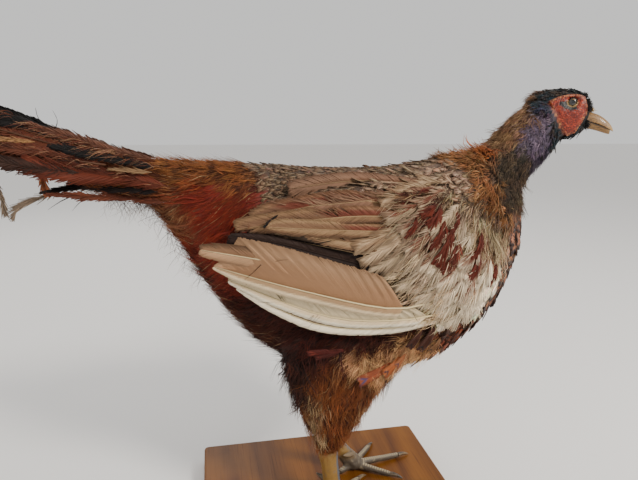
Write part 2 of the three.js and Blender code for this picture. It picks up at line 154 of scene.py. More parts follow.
class Finish:
    def __init__(self, name, **constants):
        self.material = bpy.data.materials.new(name)
        self.material.use_nodes = True
        self.nodes = self.material.node_tree.nodes
        self.links = self.material.node_tree.links
        self.shader = self.nodes["Principled BSDF"]
        for socket, value in constants.items():
            self.shader.inputs[socket.replace("_", " ")].default_value = value

    def node(self, kind, settings=None, inputs=(), output=0):
        made = self.nodes.new(kind)
        for key, value in (settings or {}).items():
            if key == "stops":
                self.setStops(made.color_ramp, value)
            else:
                setattr(made, key, value)
        pairs = inputs.items() if isinstance(inputs, dict) else enumerate(inputs)
        for key, value in pairs:
            self.feed(made.inputs[key], value)
        return Amount(self, made.outputs[output])

    def setStops(self, ramp, stops):
        while len(ramp.elements) < len(stops):
            ramp.elements.new(0.5)
        for element, (place, color) in zip(ramp.elements, stops):
            element.position = place
            element.color = (*color, 1) if len(color) == 3 else color

    def feed(self, socket, value):
        if isinstance(value, Amount):
            self.links.new(value.socket, socket)
        elif value is not None:
            if socket.type == "RGBA" and len(value) == 3:
                value = (*value, 1)
            socket.default_value = value

    def mix(self, factor, a, b, how="MIX"):
        settings = {"data_type": "RGBA", "blend_type": how, "clamp_factor": True}
        return self.node("ShaderNodeMix", settings, {0: factor, 6: a, 7: b}, output=2)

    def step(self, value, low, high):  # 0 at low, 1 at high, smooth between
        settings = {"interpolation_type": "SMOOTHSTEP"}
        return self.node("ShaderNodeMapRange", settings, [value, low, high, 0, 1])

    def noise(self, vector, scale, detail, rough):
        inputs = {"Vector": vector, "Scale": scale, "Detail": detail, "Roughness": rough}
        return self.node("ShaderNodeTexNoise", {}, inputs)

    def attribute(self, name, output=0):
        return self.node("ShaderNodeAttribute", {"attribute_name": name}, output=output)

    def objectPlace(self):
        return self.node("ShaderNodeTexCoord", output=3)

    def split(self, vector):
        outputs = self.node("ShaderNodeSeparateXYZ", {}, [vector]).socket.node.outputs
        return [Amount(self, output) for output in outputs]

    def join(self, x, y, z):
        return self.node("ShaderNodeCombineXYZ", {}, [x, y, z])

    def surface(self, **inputs):
        for socket, value in inputs.items():
            self.feed(self.shader.inputs[socket.replace("_", " ")], value)

    def bump(self, height, strength, distance):
        inputs = {"Height": height, "Strength": strength, "Distance": distance}
        self.surface(Normal=self.node("ShaderNodeBump", {}, inputs))


def dress(thing, finish):
    thing.data.materials.clear()
    thing.data.materials.append(finish.material)


def ship(thing, slot, *replaced):  # hands a finished piece to the frame
    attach(thing, "root")
    if replaced:
        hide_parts(*replaced)
    print("made", thing.name, len(thing.data.polygons), "faces")


# The skin: every fleshy part merged into one closed surface, sunk below the coat.
skinPlan = {
    "bodyVoxel": 3.0, "headVoxel": 0.6, "legVoxel": 0.8,
    "overlap": 1.2,  # how far the copies are swollen before they are merged
    "bodyCoat": 3.6, "neckCoat": 2.2, "wingCoat": 5.0, "headCoat": 1.5, "thighCoat": 3.2,
    "neckFrom": (150, 180), "neckAbove": (318, 340),  # x and z over which the depth changes
    "wingOut": (44, 52), "wingAbove": (190, 205), "thighBelow": (130, 90),
    "shankAbove": (62, 92), "shankShare": 0.35,
    "headSink": 3.5, "headReach": (14, 8),  # the finer head covers the body's own copy of it
}
headPlan = {"place": (0.224, -0.014, 0.389), "turn": -28, "middle": (-4, 0, -8)}
headTurnZ = math.radians(headPlan["turn"])
headPlace = Matrix.Translation(headPlan["place"]) @ Matrix.Rotation(headTurnZ, 4, "Z")
headTurn = np.array(headPlace.to_3x3())
headOrigin = np.array(headPlace.translation)


def toHead(points):  # part frame in metres to the head's own frame in millimetres
    return (points - headOrigin) @ headTurn / mm


def fromHead(points):
    return np.asarray(points) * mm @ headTurn.T + headOrigin


def copyNode(name, swell):
    thing = newObject("copy_" + name, nodes[name].data.copy())
    activate(thing)
    bpy.ops.object.mode_set(mode="EDIT")
    bpy.ops.mesh.select_all(action="SELECT")
    bpy.ops.mesh.remove_doubles(threshold=0.00002)
    bpy.ops.object.mode_set(mode="OBJECT")
    setPoints(thing, pointsOf(thing) + normalsOf(thing) * swell * mm)
    return thing


def merged(name, things):
    activate(things[0])
    for thing in things:
        thing.select_set(True)
    bpy.ops.object.join()
    things[0].name = name
    return things[0]


def remeshed(thing, voxel, rounds):
    remesh = thing.modifiers.new("remesh", "REMESH")
    remesh.mode = "VOXEL"
    remesh.voxel_size = voxel * mm
    smoothing(thing, 0.5, rounds)
    applyAll(thing)
    return thing


def sunk(thing, depth, rounds):  # moves the surface inwards in small even steps
    for _ in range(rounds):
        setPoints(thing, pointsOf(thing) - normalsOf(thing) * (depth / rounds)[:, None] * mm)
        smoothing(thing, 0.4, 2)
        applyAll(thing)
    return thing


def bodySkin():
    p = skinPlan
    names = ["trunk", "neck", "head", "tail_coverts", "wing_right", "wing_left"]
    names += ["thigh_right", "thigh_left", "face_right", "face_left"]
    body = merged("body_skin", [copyNode(name, p["overlap"]) for name in names])
    remeshed(body, p["bodyVoxel"], 6)
    points = pointsOf(body) / mm
    x, out, z = points[:, 0], np.abs(points[:, 1]), points[:, 2]
    depth = np.full(len(points), p["bodyCoat"])
    for coat, zone in (("neckCoat", blendOf(*p["neckFrom"], x) * blendOf(*p["neckAbove"], z)),
                       ("wingCoat", blendOf(*p["wingOut"], out) * blendOf(*p["wingAbove"], z)),
                       ("thighCoat", blendOf(*p["thighBelow"], z))):
        depth += (p[coat] - depth) * zone
    depth *= p["shankShare"] + (1 - p["shankShare"]) * blendOf(*p["shankAbove"], z)
    fromHeadMiddle = np.linalg.norm(toHead(points * mm) + (8, 0, 8), axis=1) - 12
    depth += p["headSink"] * blendOf(*p["headReach"], fromHeadMiddle)
    return sunk(body, depth + p["overlap"], 5)


# The bare face is a raised, warty patch, and the lids are rolled round the glass eye.
facePlan = {
    "outline": [(-20, 0.8), (-11, 5.2), (-1, 7.4), (5.5, 6.9), (10.4, 5.2), (12.1, -1), (14.4, -7),
                (11.6, -12.2), (8.3, -19.4), (4.8, -26.2), (-1.8, -29.4), (-6.6, -25.4), (-10, -18.4),
                (-16.2, -6.6)],
    "rise": 2.2, "wart": 0.42, "wartSize": 1.5,
    "eyeAcross": 3.2, "eyeUp": 2.6, "ballRadius": 5.4, "ballSide": 11.6,
    "lidRoll": 0.8, "lidOut": 14.2, "socket": 1.0, "slack": 0.9, "fold": 0.22,
    "browOut": 0.8, "billSink": 5.0,
}


def insideOutline(points, outline):  # signed distance in millimetres, positive inside
    corners = np.array(outline, float)
    after = np.roll(corners, -1, axis=0)
    nearest = np.full(len(points), 1e9)
    crossings = np.zeros(len(points), int)
    for a, b in zip(corners, after):
        edge = b - a
        t = np.clip(((points - a) @ edge) / (edge @ edge), 0, 1)
        nearest = np.minimum(nearest, np.linalg.norm(points - a - t[:, None] * edge, axis=1))
        spans = (a[1] > points[:, 1]) != (b[1] > points[:, 1])
        rise = edge[1] if abs(edge[1]) > 1e-9 else 1e-9
        crossings += spans & (points[:, 0] < a[0] + (points[:, 1] - a[1]) * edge[0] / rise)
    return np.where(crossings % 2 == 1, nearest, -nearest)


def warts(places, size):  # rounded grains, 1 at each grain's middle and 0 in the furrows
    values = np.empty(len(places))
    for k, (x, z, side) in enumerate(places):
        spread = noise.voronoi(Vector((x / size, z / size, side * 9)))[0]
        values[k] = min(1.0, (spread[1] - spread[0]) * 1.6)
    return values


def headSkin():
    head = remeshed(copyNode("head", 0), 1.6, 9)
    setPoints(head, pointsOf(head) + normalsOf(head) * 0.5 * mm)
    remeshed(head, skinPlan["headVoxel"], 2)
    p = facePlan
    world = pointsOf(head)
    spots = toHead(world)
    outwards = normalsOf(head) @ headTurn
    flank = blendOf(0.25, 0.6, np.abs(outwards[:, 1]))
    depth = insideOutline(spots[:, [0, 2]], p["outline"])
    face = blendOf(-0.8, 1.2, depth) * flank
    grain = np.zeros(len(spots))
    near = face > 0.01
    grain[near] = warts(np.c_[spots[near][:, [0, 2]], np.sign(spots[near][:, 1])], p["wartSize"])
    rim = np.exp(-(((depth - 1.3) / 1.2) ** 2)) * 0.35
    lift = face * (p["rise"] + (grain - 0.5) * 2 * p["wart"] + rim)
    lift += 0.5 * face * roughField(spots, 5.5, 3) - skinPlan["headCoat"] * (1 - face)
    spots += outwards * lift[:, None]
    sculptLids(spots, flank)
    brow = np.exp(-(((spots[:, 0] + 1) / 7) ** 2) - (((spots[:, 2] - 5.6) / 1.6) ** 2)) * flank
    spots[:, 1] += np.sign(spots[:, 1]) * p["browOut"] * brow
    x, z = spots[:, 0], spots[:, 2]
    gape = blendOf(11.5, 16, x + 0.25 * (z + 14)) * blendOf(-25, -22, z) * blendOf(-3, -7, z)
    sink = np.minimum(p["billSink"] * gape, np.abs(spots[:, 1]) * 0.8)
    spots[:, 1] -= np.sign(spots[:, 1]) * sink
    setPoints(head, fromHead(spots))
    return head


def eyeAround(x, z):  # 1 on the rim of the opening, which is flatter above
    up = facePlan["eyeUp"] * np.where(z > 0, 0.88, 1.06)
    return np.hypot(x / facePlan["eyeAcross"], z / up)


def sculptLids(spots, flank):
    p = facePlan
    x, z = spots[:, 0], spots[:, 2]
    side = np.sign(spots[:, 1])
    around = eyeAround(x, z)
    reach = np.sqrt(x**2 + z**2)
    ball = p["ballSide"] + np.sqrt(np.maximum(p["ballRadius"] ** 2 - reach**2, 0))
    out = np.abs(spots[:, 1])
    angle = np.arctan2(z, x)
    socket = p["socket"] * np.exp(-(((around - 1.75) / 0.42) ** 2))  # the hollow round the lids
    slack = p["slack"] * np.exp(-(((x + 6) / 5) ** 2) - (((z + 6) / 3.2) ** 2))  # shrivelled skin below
    folds = p["fold"] * np.sin(around * 11 + 1.2 * np.sin(3 * angle))
    folds = folds * blendOf(1.15, 1.5, around) * blendOf(3.0, 2.0, around)
    shaped = out - socket - slack + folds
    edge = np.sqrt(np.clip(1 - ((around - 1.14) / 0.28) ** 2, 0, 1))
    roll = np.maximum(ball, p["lidOut"]) + p["lidRoll"] * edge
    lid = blendOf(1.62, 1.28, around)
    shaped += (roll - shaped) * lid
    inner = blendOf(0.98, 0.86, around)
    shaped += (p["ballSide"] - 1.0 - shaped) * inner
    zone = flank * blendOf(3.4, 2.6, around)
    spots[:, 1] = side * (out + (shaped - out) * zone)


legPlan = {
    "scuteStep": 3.3, "toeStep": 2.5, "scuteDepth": 0.34,  # overlapping plates down the shank and the toes
    "scaleSize": 2.0, "scaleDepth": 0.26, "sink": 0.35,
    "shankSwell": 2.6, "footSwell": 0.55, "boardTop": 18,
}


def scutes(run, step):  # plates that rise at their start and drop at their end
    ring = (run / step) % 1
    return blendOf(0, 0.25, ring) - blendOf(0.8, 1.0, ring) * 0.9


def legSkin(side):
    p = legPlan
    parts = [copyNode("tarsus_" + side, p["shankSwell"]), copyNode("foot_" + side, p["footSwell"])]
    leg = merged("leg_skin_" + side, parts)
    remeshed(leg, 1.1, 4)
    remeshed(leg, skinPlan["legVoxel"], 3)
    world = pointsOf(leg) / mm
    outwards = normalsOf(leg)
    middle = (pointsOf(nodes["tarsus_" + side]) / mm).mean(0)[1]
    shank = blendOf(28, 32, world[:, 2])
    front = blendOf(-0.2, 0.5, outwards[:, 0])
    lift = np.full(len(world), -p["sink"])
    down = world[:, 2] + 0.9 * np.abs(world[:, 1] - middle)
    lift += p["scuteDepth"] * scutes(down, p["scuteStep"]) * front * shank
    reach = np.linalg.norm(world[:, :2] - footCentre(side), axis=1)
    top = blendOf(0.1, 0.6, outwards[:, 2]) * (1 - shank) * blendOf(7, 11, reach)
    lift += p["scuteDepth"] * 0.9 * scutes(reach, p["toeStep"]) * top
    scaly = np.clip((1 - front) * shank + (1 - shank) * (1 - top), 0, 1)
    grains = np.array([noise.voronoi(Vector(w) / p["scaleSize"])[0] for w in world])
    edge = np.clip((grains[:, 1] - grains[:, 0]) * 1.8, 0, 1)
    lift += p["scaleDepth"] * (edge - 0.4) * scaly
    moved = world + outwards * lift[:, None]
    moved[:, 2] = np.maximum(moved[:, 2], p["boardTop"] + 0.05)
    setPoints(leg, moved * mm)
    return leg


def footCentre(side):  # where the toes meet, below the shank
    shank = pointsOf(nodes["tarsus_" + side]) / mm
    return shank[shank[:, 2] < shank[:, 2].min() + 4][:, :2].mean(0)


def united(base, others):
    for other in others:
        union = base.modifiers.new("union", "BOOLEAN")
        union.operation = "UNION"
        union.solver = "MANIFOLD"
        union.object = other
        applyAll(base)
        bpy.data.objects.remove(other)
    return base


skin = bodySkin()
print("body skin", len(skin.data.polygons), "faces")
skin = united(skin, [headSkin(), legSkin("right"), legSkin("left")])
skin.name = "skin"
shadeSmooth(skin)
print("skin", len(skin.data.polygons), "faces")


# The lie of the coat: places on the right half in millimetres, and the way the feathers point there.
# The last three numbers are towards the tail or head, outwards from the middle, and up.
lieGuides = [
    (140, 0, 347, -1, 0, -0.1), (105, 34, 332, -1, 0.1, -0.15), (40, 0, 336, -1, 0, 0),
    (40, 40, 325, -1, 0.1, -0.1), (-40, 0, 334, -1, 0, 0), (-110, 0, 338, -1, 0, 0.12),
    (-170, 0, 350, -0.94, 0, 0.34), (-240, 0, 370, -0.94, 0, 0.34), (-200, 16, 345, -0.95, 0.1, 0.22),
    (-200, 0, 330, -0.94, 0, 0.34), (186, 0, 362, -0.6, 0, -0.8), (196, 20, 352, -0.5, 0, -0.87),
    (206, 0, 342, -0.55, 0, -0.83), (170, 25, 335, -0.5, 0.05, -0.87), (160, 0, 352, -0.8, 0, -0.6),
    (170, 38, 315, -0.42, 0.1, -0.9), (195, 0, 315, -0.1, 0, -1), (190, 0, 285, -0.08, 0, -1),
    (184, 0, 252, -0.25, 0, -1), (172, 0, 220, -0.55, 0, -0.85), (150, 0, 185, -0.85, 0, -0.5),
    (162, 36, 250, -0.45, 0.1, -0.88), (168, 30, 285, -0.3, 0.1, -0.95), (135, 48, 225, -0.8, 0, -0.6),
    (100, 0, 146, -1, 0, -0.1), (50, 0, 139, -1, 0, 0), (0, 0, 148, -1, 0, 0.1), (-50, 0, 168, -0.9, 0, 0.3),
    (-90, 0, 210, -0.8, 0, 0.5), (-122, 0, 264, -0.75, 0, 0.6), (-150, 0, 304, -0.9, 0, 0.4),
    (60, 54, 185, -0.95, 0, -0.35), (0, 52, 195, -0.8, 0, -0.6), (-50, 47, 215, -0.8, 0, -0.55),
    (-85, 40, 280, -0.76, 0, -0.62), (-60, 42, 312, -0.85, 0, -0.4), (-115, 30, 312, -0.9, 0, -0.2),
    (-100, 36, 245, -0.75, 0, -0.5), (-150, 18, 326, -0.96, 0, 0.12), (12, 56, 165, -0.2, 0.05, -1),
    (45, 42, 150, -0.5, 0, -0.87), (-25, 44, 158, -0.12, 0, -1), (0, 40, 120, -0.12, 0, -1),
    (5, 10, 120, -0.12, 0, -1), (-3, 30, 85, 0, 0, -1), (17, 22, 85, 0, 0, -1),
    (35, 25, 120, -0.25, 0, -0.97), (112, 60, 228, -0.5, 0, -0.87), (128, 54, 262, -0.3, 0, -0.95),
    (100, 60, 292, -0.5, 0, -0.85), (60, 62, 305, -0.85, 0, -0.5), (82, 62, 252, -0.65, 0, -0.76),
    (105, 58, 203, -0.85, 0, -0.5), (0, 60, 290, -1, 0, -0.15), (-50, 55, 290, -1, 0, -0.1),
    (-78, 42, 300, -0.72, 0, -0.7), (-104, 34, 284, -0.74, 0, -0.67), (-126, 26, 300, -0.84, 0, -0.54),
    (-92, 38, 318, -0.8, 0, -0.6), (-150, 20, 318, -0.93, 0, -0.2),
]
headGuides = [  # the same in the head's own frame
    (15, 0, 7, -0.6, 0, 0.8), (5, 0, 14, -1, 0, 0.15), (-15, 0, 15, -1, 0, -0.1),
    (-33, 0, 4, -0.75, 0, -0.66), (-22, 17, -4, -0.9, 0, -0.4), (-15, 16, 9, -1, 0, 0),
    (12, 8, -24, -0.75, 0, -0.66), (-6, 0, -36, -0.9, 0, -0.45), (-16, 14, -24, -0.8, 0, -0.6),
    (5, 14, -30, -0.85, 0, -0.5), (18, 5, -18, -0.8, 0, -0.6), (-30, 12, -14, -0.7, 0, -0.7),
]


def mirrored(guides):  # places and ways on both halves
    both = [((x, side * y, z), (dx, side * out, dz)) for x, y, z, dx, out, dz in guides for side in (-1, 1)]
    return [np.array(column, float) for column in zip(*both)]


def gatherGuides():
    (places, ways), (headPlaces, headWays) = mirrored(lieGuides), mirrored(headGuides)
    ways = np.concatenate([ways, [headTurn @ way for way in headWays]])
    return np.concatenate([places * mm, [fromHead(place) for place in headPlaces]]), unit(ways)


guidePlaces, guideWays = gatherGuides()


def lie(points):
    total = np.zeros_like(points)
    for place, way in zip(guidePlaces, guideWays):
        near = 1 / (np.sum((points - place) ** 2, axis=1) + 3e-5) ** 2
        total += near[:, None] * way
    return unit(total)


skinPoints = pointsOf(skin)
skinFaces = [tuple(p.vertices) for p in skin.data.polygons]
skinTree = BVHTree.FromPolygons([Vector(p) for p in skinPoints], skinFaces)
skinVertexNormals = normalsOf(skin)
faceNormals = unit(np.array([skinVertexNormals[list(f)].mean(0) for f in skinFaces]))


def onSkin(points):
    spots, normals = np.empty_like(points), np.empty_like(points)
    for k, point in enumerate(points):
        spot, _, face, _ = skinTree.find_nearest(point)
        spots[k] = spot
        normals[k] = faceNormals[face]
    return spots, normals


def square(ways, normals):  # the part of each way that is square to its normal
    return unit(ways - normals * np.sum(ways * normals, axis=-1, keepdims=True))


def turned(ways, normals, angles):  # turns each way about its normal
    across = np.cross(normals, ways)
    return ways * np.cos(angles)[:, None] + across * np.sin(angles)[:, None]


def walk(roots, lengths, angles, rows):
    # Paths that start at the roots and lie along the skin; rows points and normals for each.
    spots, normals = onSkin(roots)
    placesOut, normalsOut = [spots], [normals]
    for _ in range(rows - 1):
        way = turned(square(lie(spots), normals), normals, angles)
        spots, normals = onSkin(spots + way * (lengths / (rows - 1))[:, None])
        placesOut.append(spots)
        normalsOut.append(normals)
    return np.stack(placesOut, 1), np.stack(normalsOut, 1)


def finer(paths, rows):  # the same paths with more rows
    count = paths.shape[1]
    at = np.linspace(0, count - 1, rows)
    low = np.minimum(at.astype(int), count - 2)
    share = (at - low)[None, :, None]
    before = paths[:, np.maximum(low - 1, 0)]
    a, b = paths[:, low], paths[:, low + 1]
    after = paths[:, np.minimum(low + 2, count - 1)]
    curve = 2 * before - 5 * a + 4 * b - after + share * (3 * (a - b) + after - before)
    return a + 0.5 * share * (b - before + share * curve)


def along(paths):  # unit direction at each row of each path
    return unit(np.gradient(paths, axis=1))


# The skin laid flat for the bake: along the body, and round a line through its middle.
unwrapPlan = {
    "x": [-0.27, -0.15, 0.0, 0.12, 0.18, 0.24], "height": [0.37, 0.32, 0.24, 0.25, 0.33, 0.38],
    "from": -0.30, "length": 0.58, "margin": 0.02,
    "patch": 0.003,  # side of one tuft's own patch
}


def unwrapped(points):
    p = unwrapPlan
    height = np.interp(points[:, 0], p["x"], p["height"])
    turn = np.arctan2(points[:, 1], height - points[:, 2]) / (2 * math.pi) + 0.5
    inside = 1 - 2 * p["margin"]
    run = p["margin"] + inside * (points[:, 0] - p["from"]) / p["length"]
    return np.c_[run, p["margin"] + inside * turn]


class Coat:  # gathers thin closed vanes, three points to a row: left edge, ridge, right edge
    def __init__(self, name):
        self.name = name
        self.points, self.faces, self.vane = [], [], []
        self.inner, self.outer, self.mark, self.bake = [], [], [], []
        self.count = 0

    def add(self, points, vane, inner, outer, mark, bake):
        many, rows = points.shape[:2]
        template = ribbonFaces(rows)
        starts = self.count + np.arange(many)[:, None, None] * rows * 3
        self.faces.append((template[None] + starts).reshape(-1, 3))
        self.points.append(points.reshape(-1, 3))
        self.vane.append(vane.reshape(-1, 3))
        self.bake.append(bake.reshape(-1, 2))
        for store, values in ((self.inner, inner), (self.outer, outer), (self.mark, mark)):
            spread = np.broadcast_to(np.asarray(values)[:, None, :], (many, rows * 3, 3))
            store.append(spread.reshape(-1, 3))
        self.count += many * rows * 3

    def build(self, finish):
        points, faces = np.concatenate(self.points), np.concatenate(self.faces)
        thing = meshOf(self.name, points, faces)
        solid = np.ones((len(points), 1))
        paint(thing, "inner", "FLOAT_COLOR", np.hstack([np.concatenate(self.inner), solid]))
        paint(thing, "outer", "FLOAT_COLOR", np.hstack([np.concatenate(self.outer), solid]))
        paint(thing, "vane", "FLOAT_VECTOR", np.concatenate(self.vane))
        paint(thing, "mark", "FLOAT_VECTOR", np.concatenate(self.mark))
        uv = thing.data.uv_layers.new(name="OFBake")
        uv.data.foreach_set("uv", np.concatenate(self.bake)[faces.ravel()].astype(np.float32).ravel())
        dress(thing, finish)
        return thing


def ribbonFaces(rows):
    faces = [(0, 2, 1)]
    for r in range(rows - 1):
        a, b = 3 * r, 3 * r + 3
        for p, q, s, t in ((a, a + 1, b + 1, b), (a + 1, a + 2, b + 2, b + 1), (a, b, b + 2, a + 2)):
            faces += [(p, q, s), (p, s, t)]
    end = 3 * (rows - 1)
    faces.append((end, end + 1, end + 2))
    return np.array(faces)


def ribbons(paths, normals, half, ridge, edgeDrop=None):
    ways = along(paths)
    across = unit(np.cross(ways, normals))
    up = np.cross(across, ways)
    left, right = paths - across * half[..., None], paths + across * half[..., None]
    top = paths + up * ridge[..., None]
    if edgeDrop is not None:
        left = left - up * edgeDrop[..., None]
        right = right - up * edgeDrop[..., None]
    return np.stack([left, top, right], axis=2)


def vaneSpots(many, rows, own):  # across from -1 to 1, along from 0 to 1, and the feather's own number
    spots = np.zeros((many, rows, 3, 3))
    spots[..., 0] = np.array([-1, 0, 1])
    spots[..., 1] = np.linspace(0, 1, rows)[None, :, None]
    spots[..., 2] = own[:, None, None]
    return spots


def bakeSpots(roots, vane):
    spread = np.stack([vane[..., 0] * 0.5, vane[..., 1] - 0.5], -1)
    return unwrapped(roots)[:, None, None, :] + unwrapPlan["patch"] * spread


def tint(red, green, blue):  # a screen colour, 0 to 255, as the shader's own numbers
    value = np.array([red, green, blue]) / 255
    return np.where(value < 0.04045, value / 12.92, ((value + 0.055) / 1.055) ** 2.4)


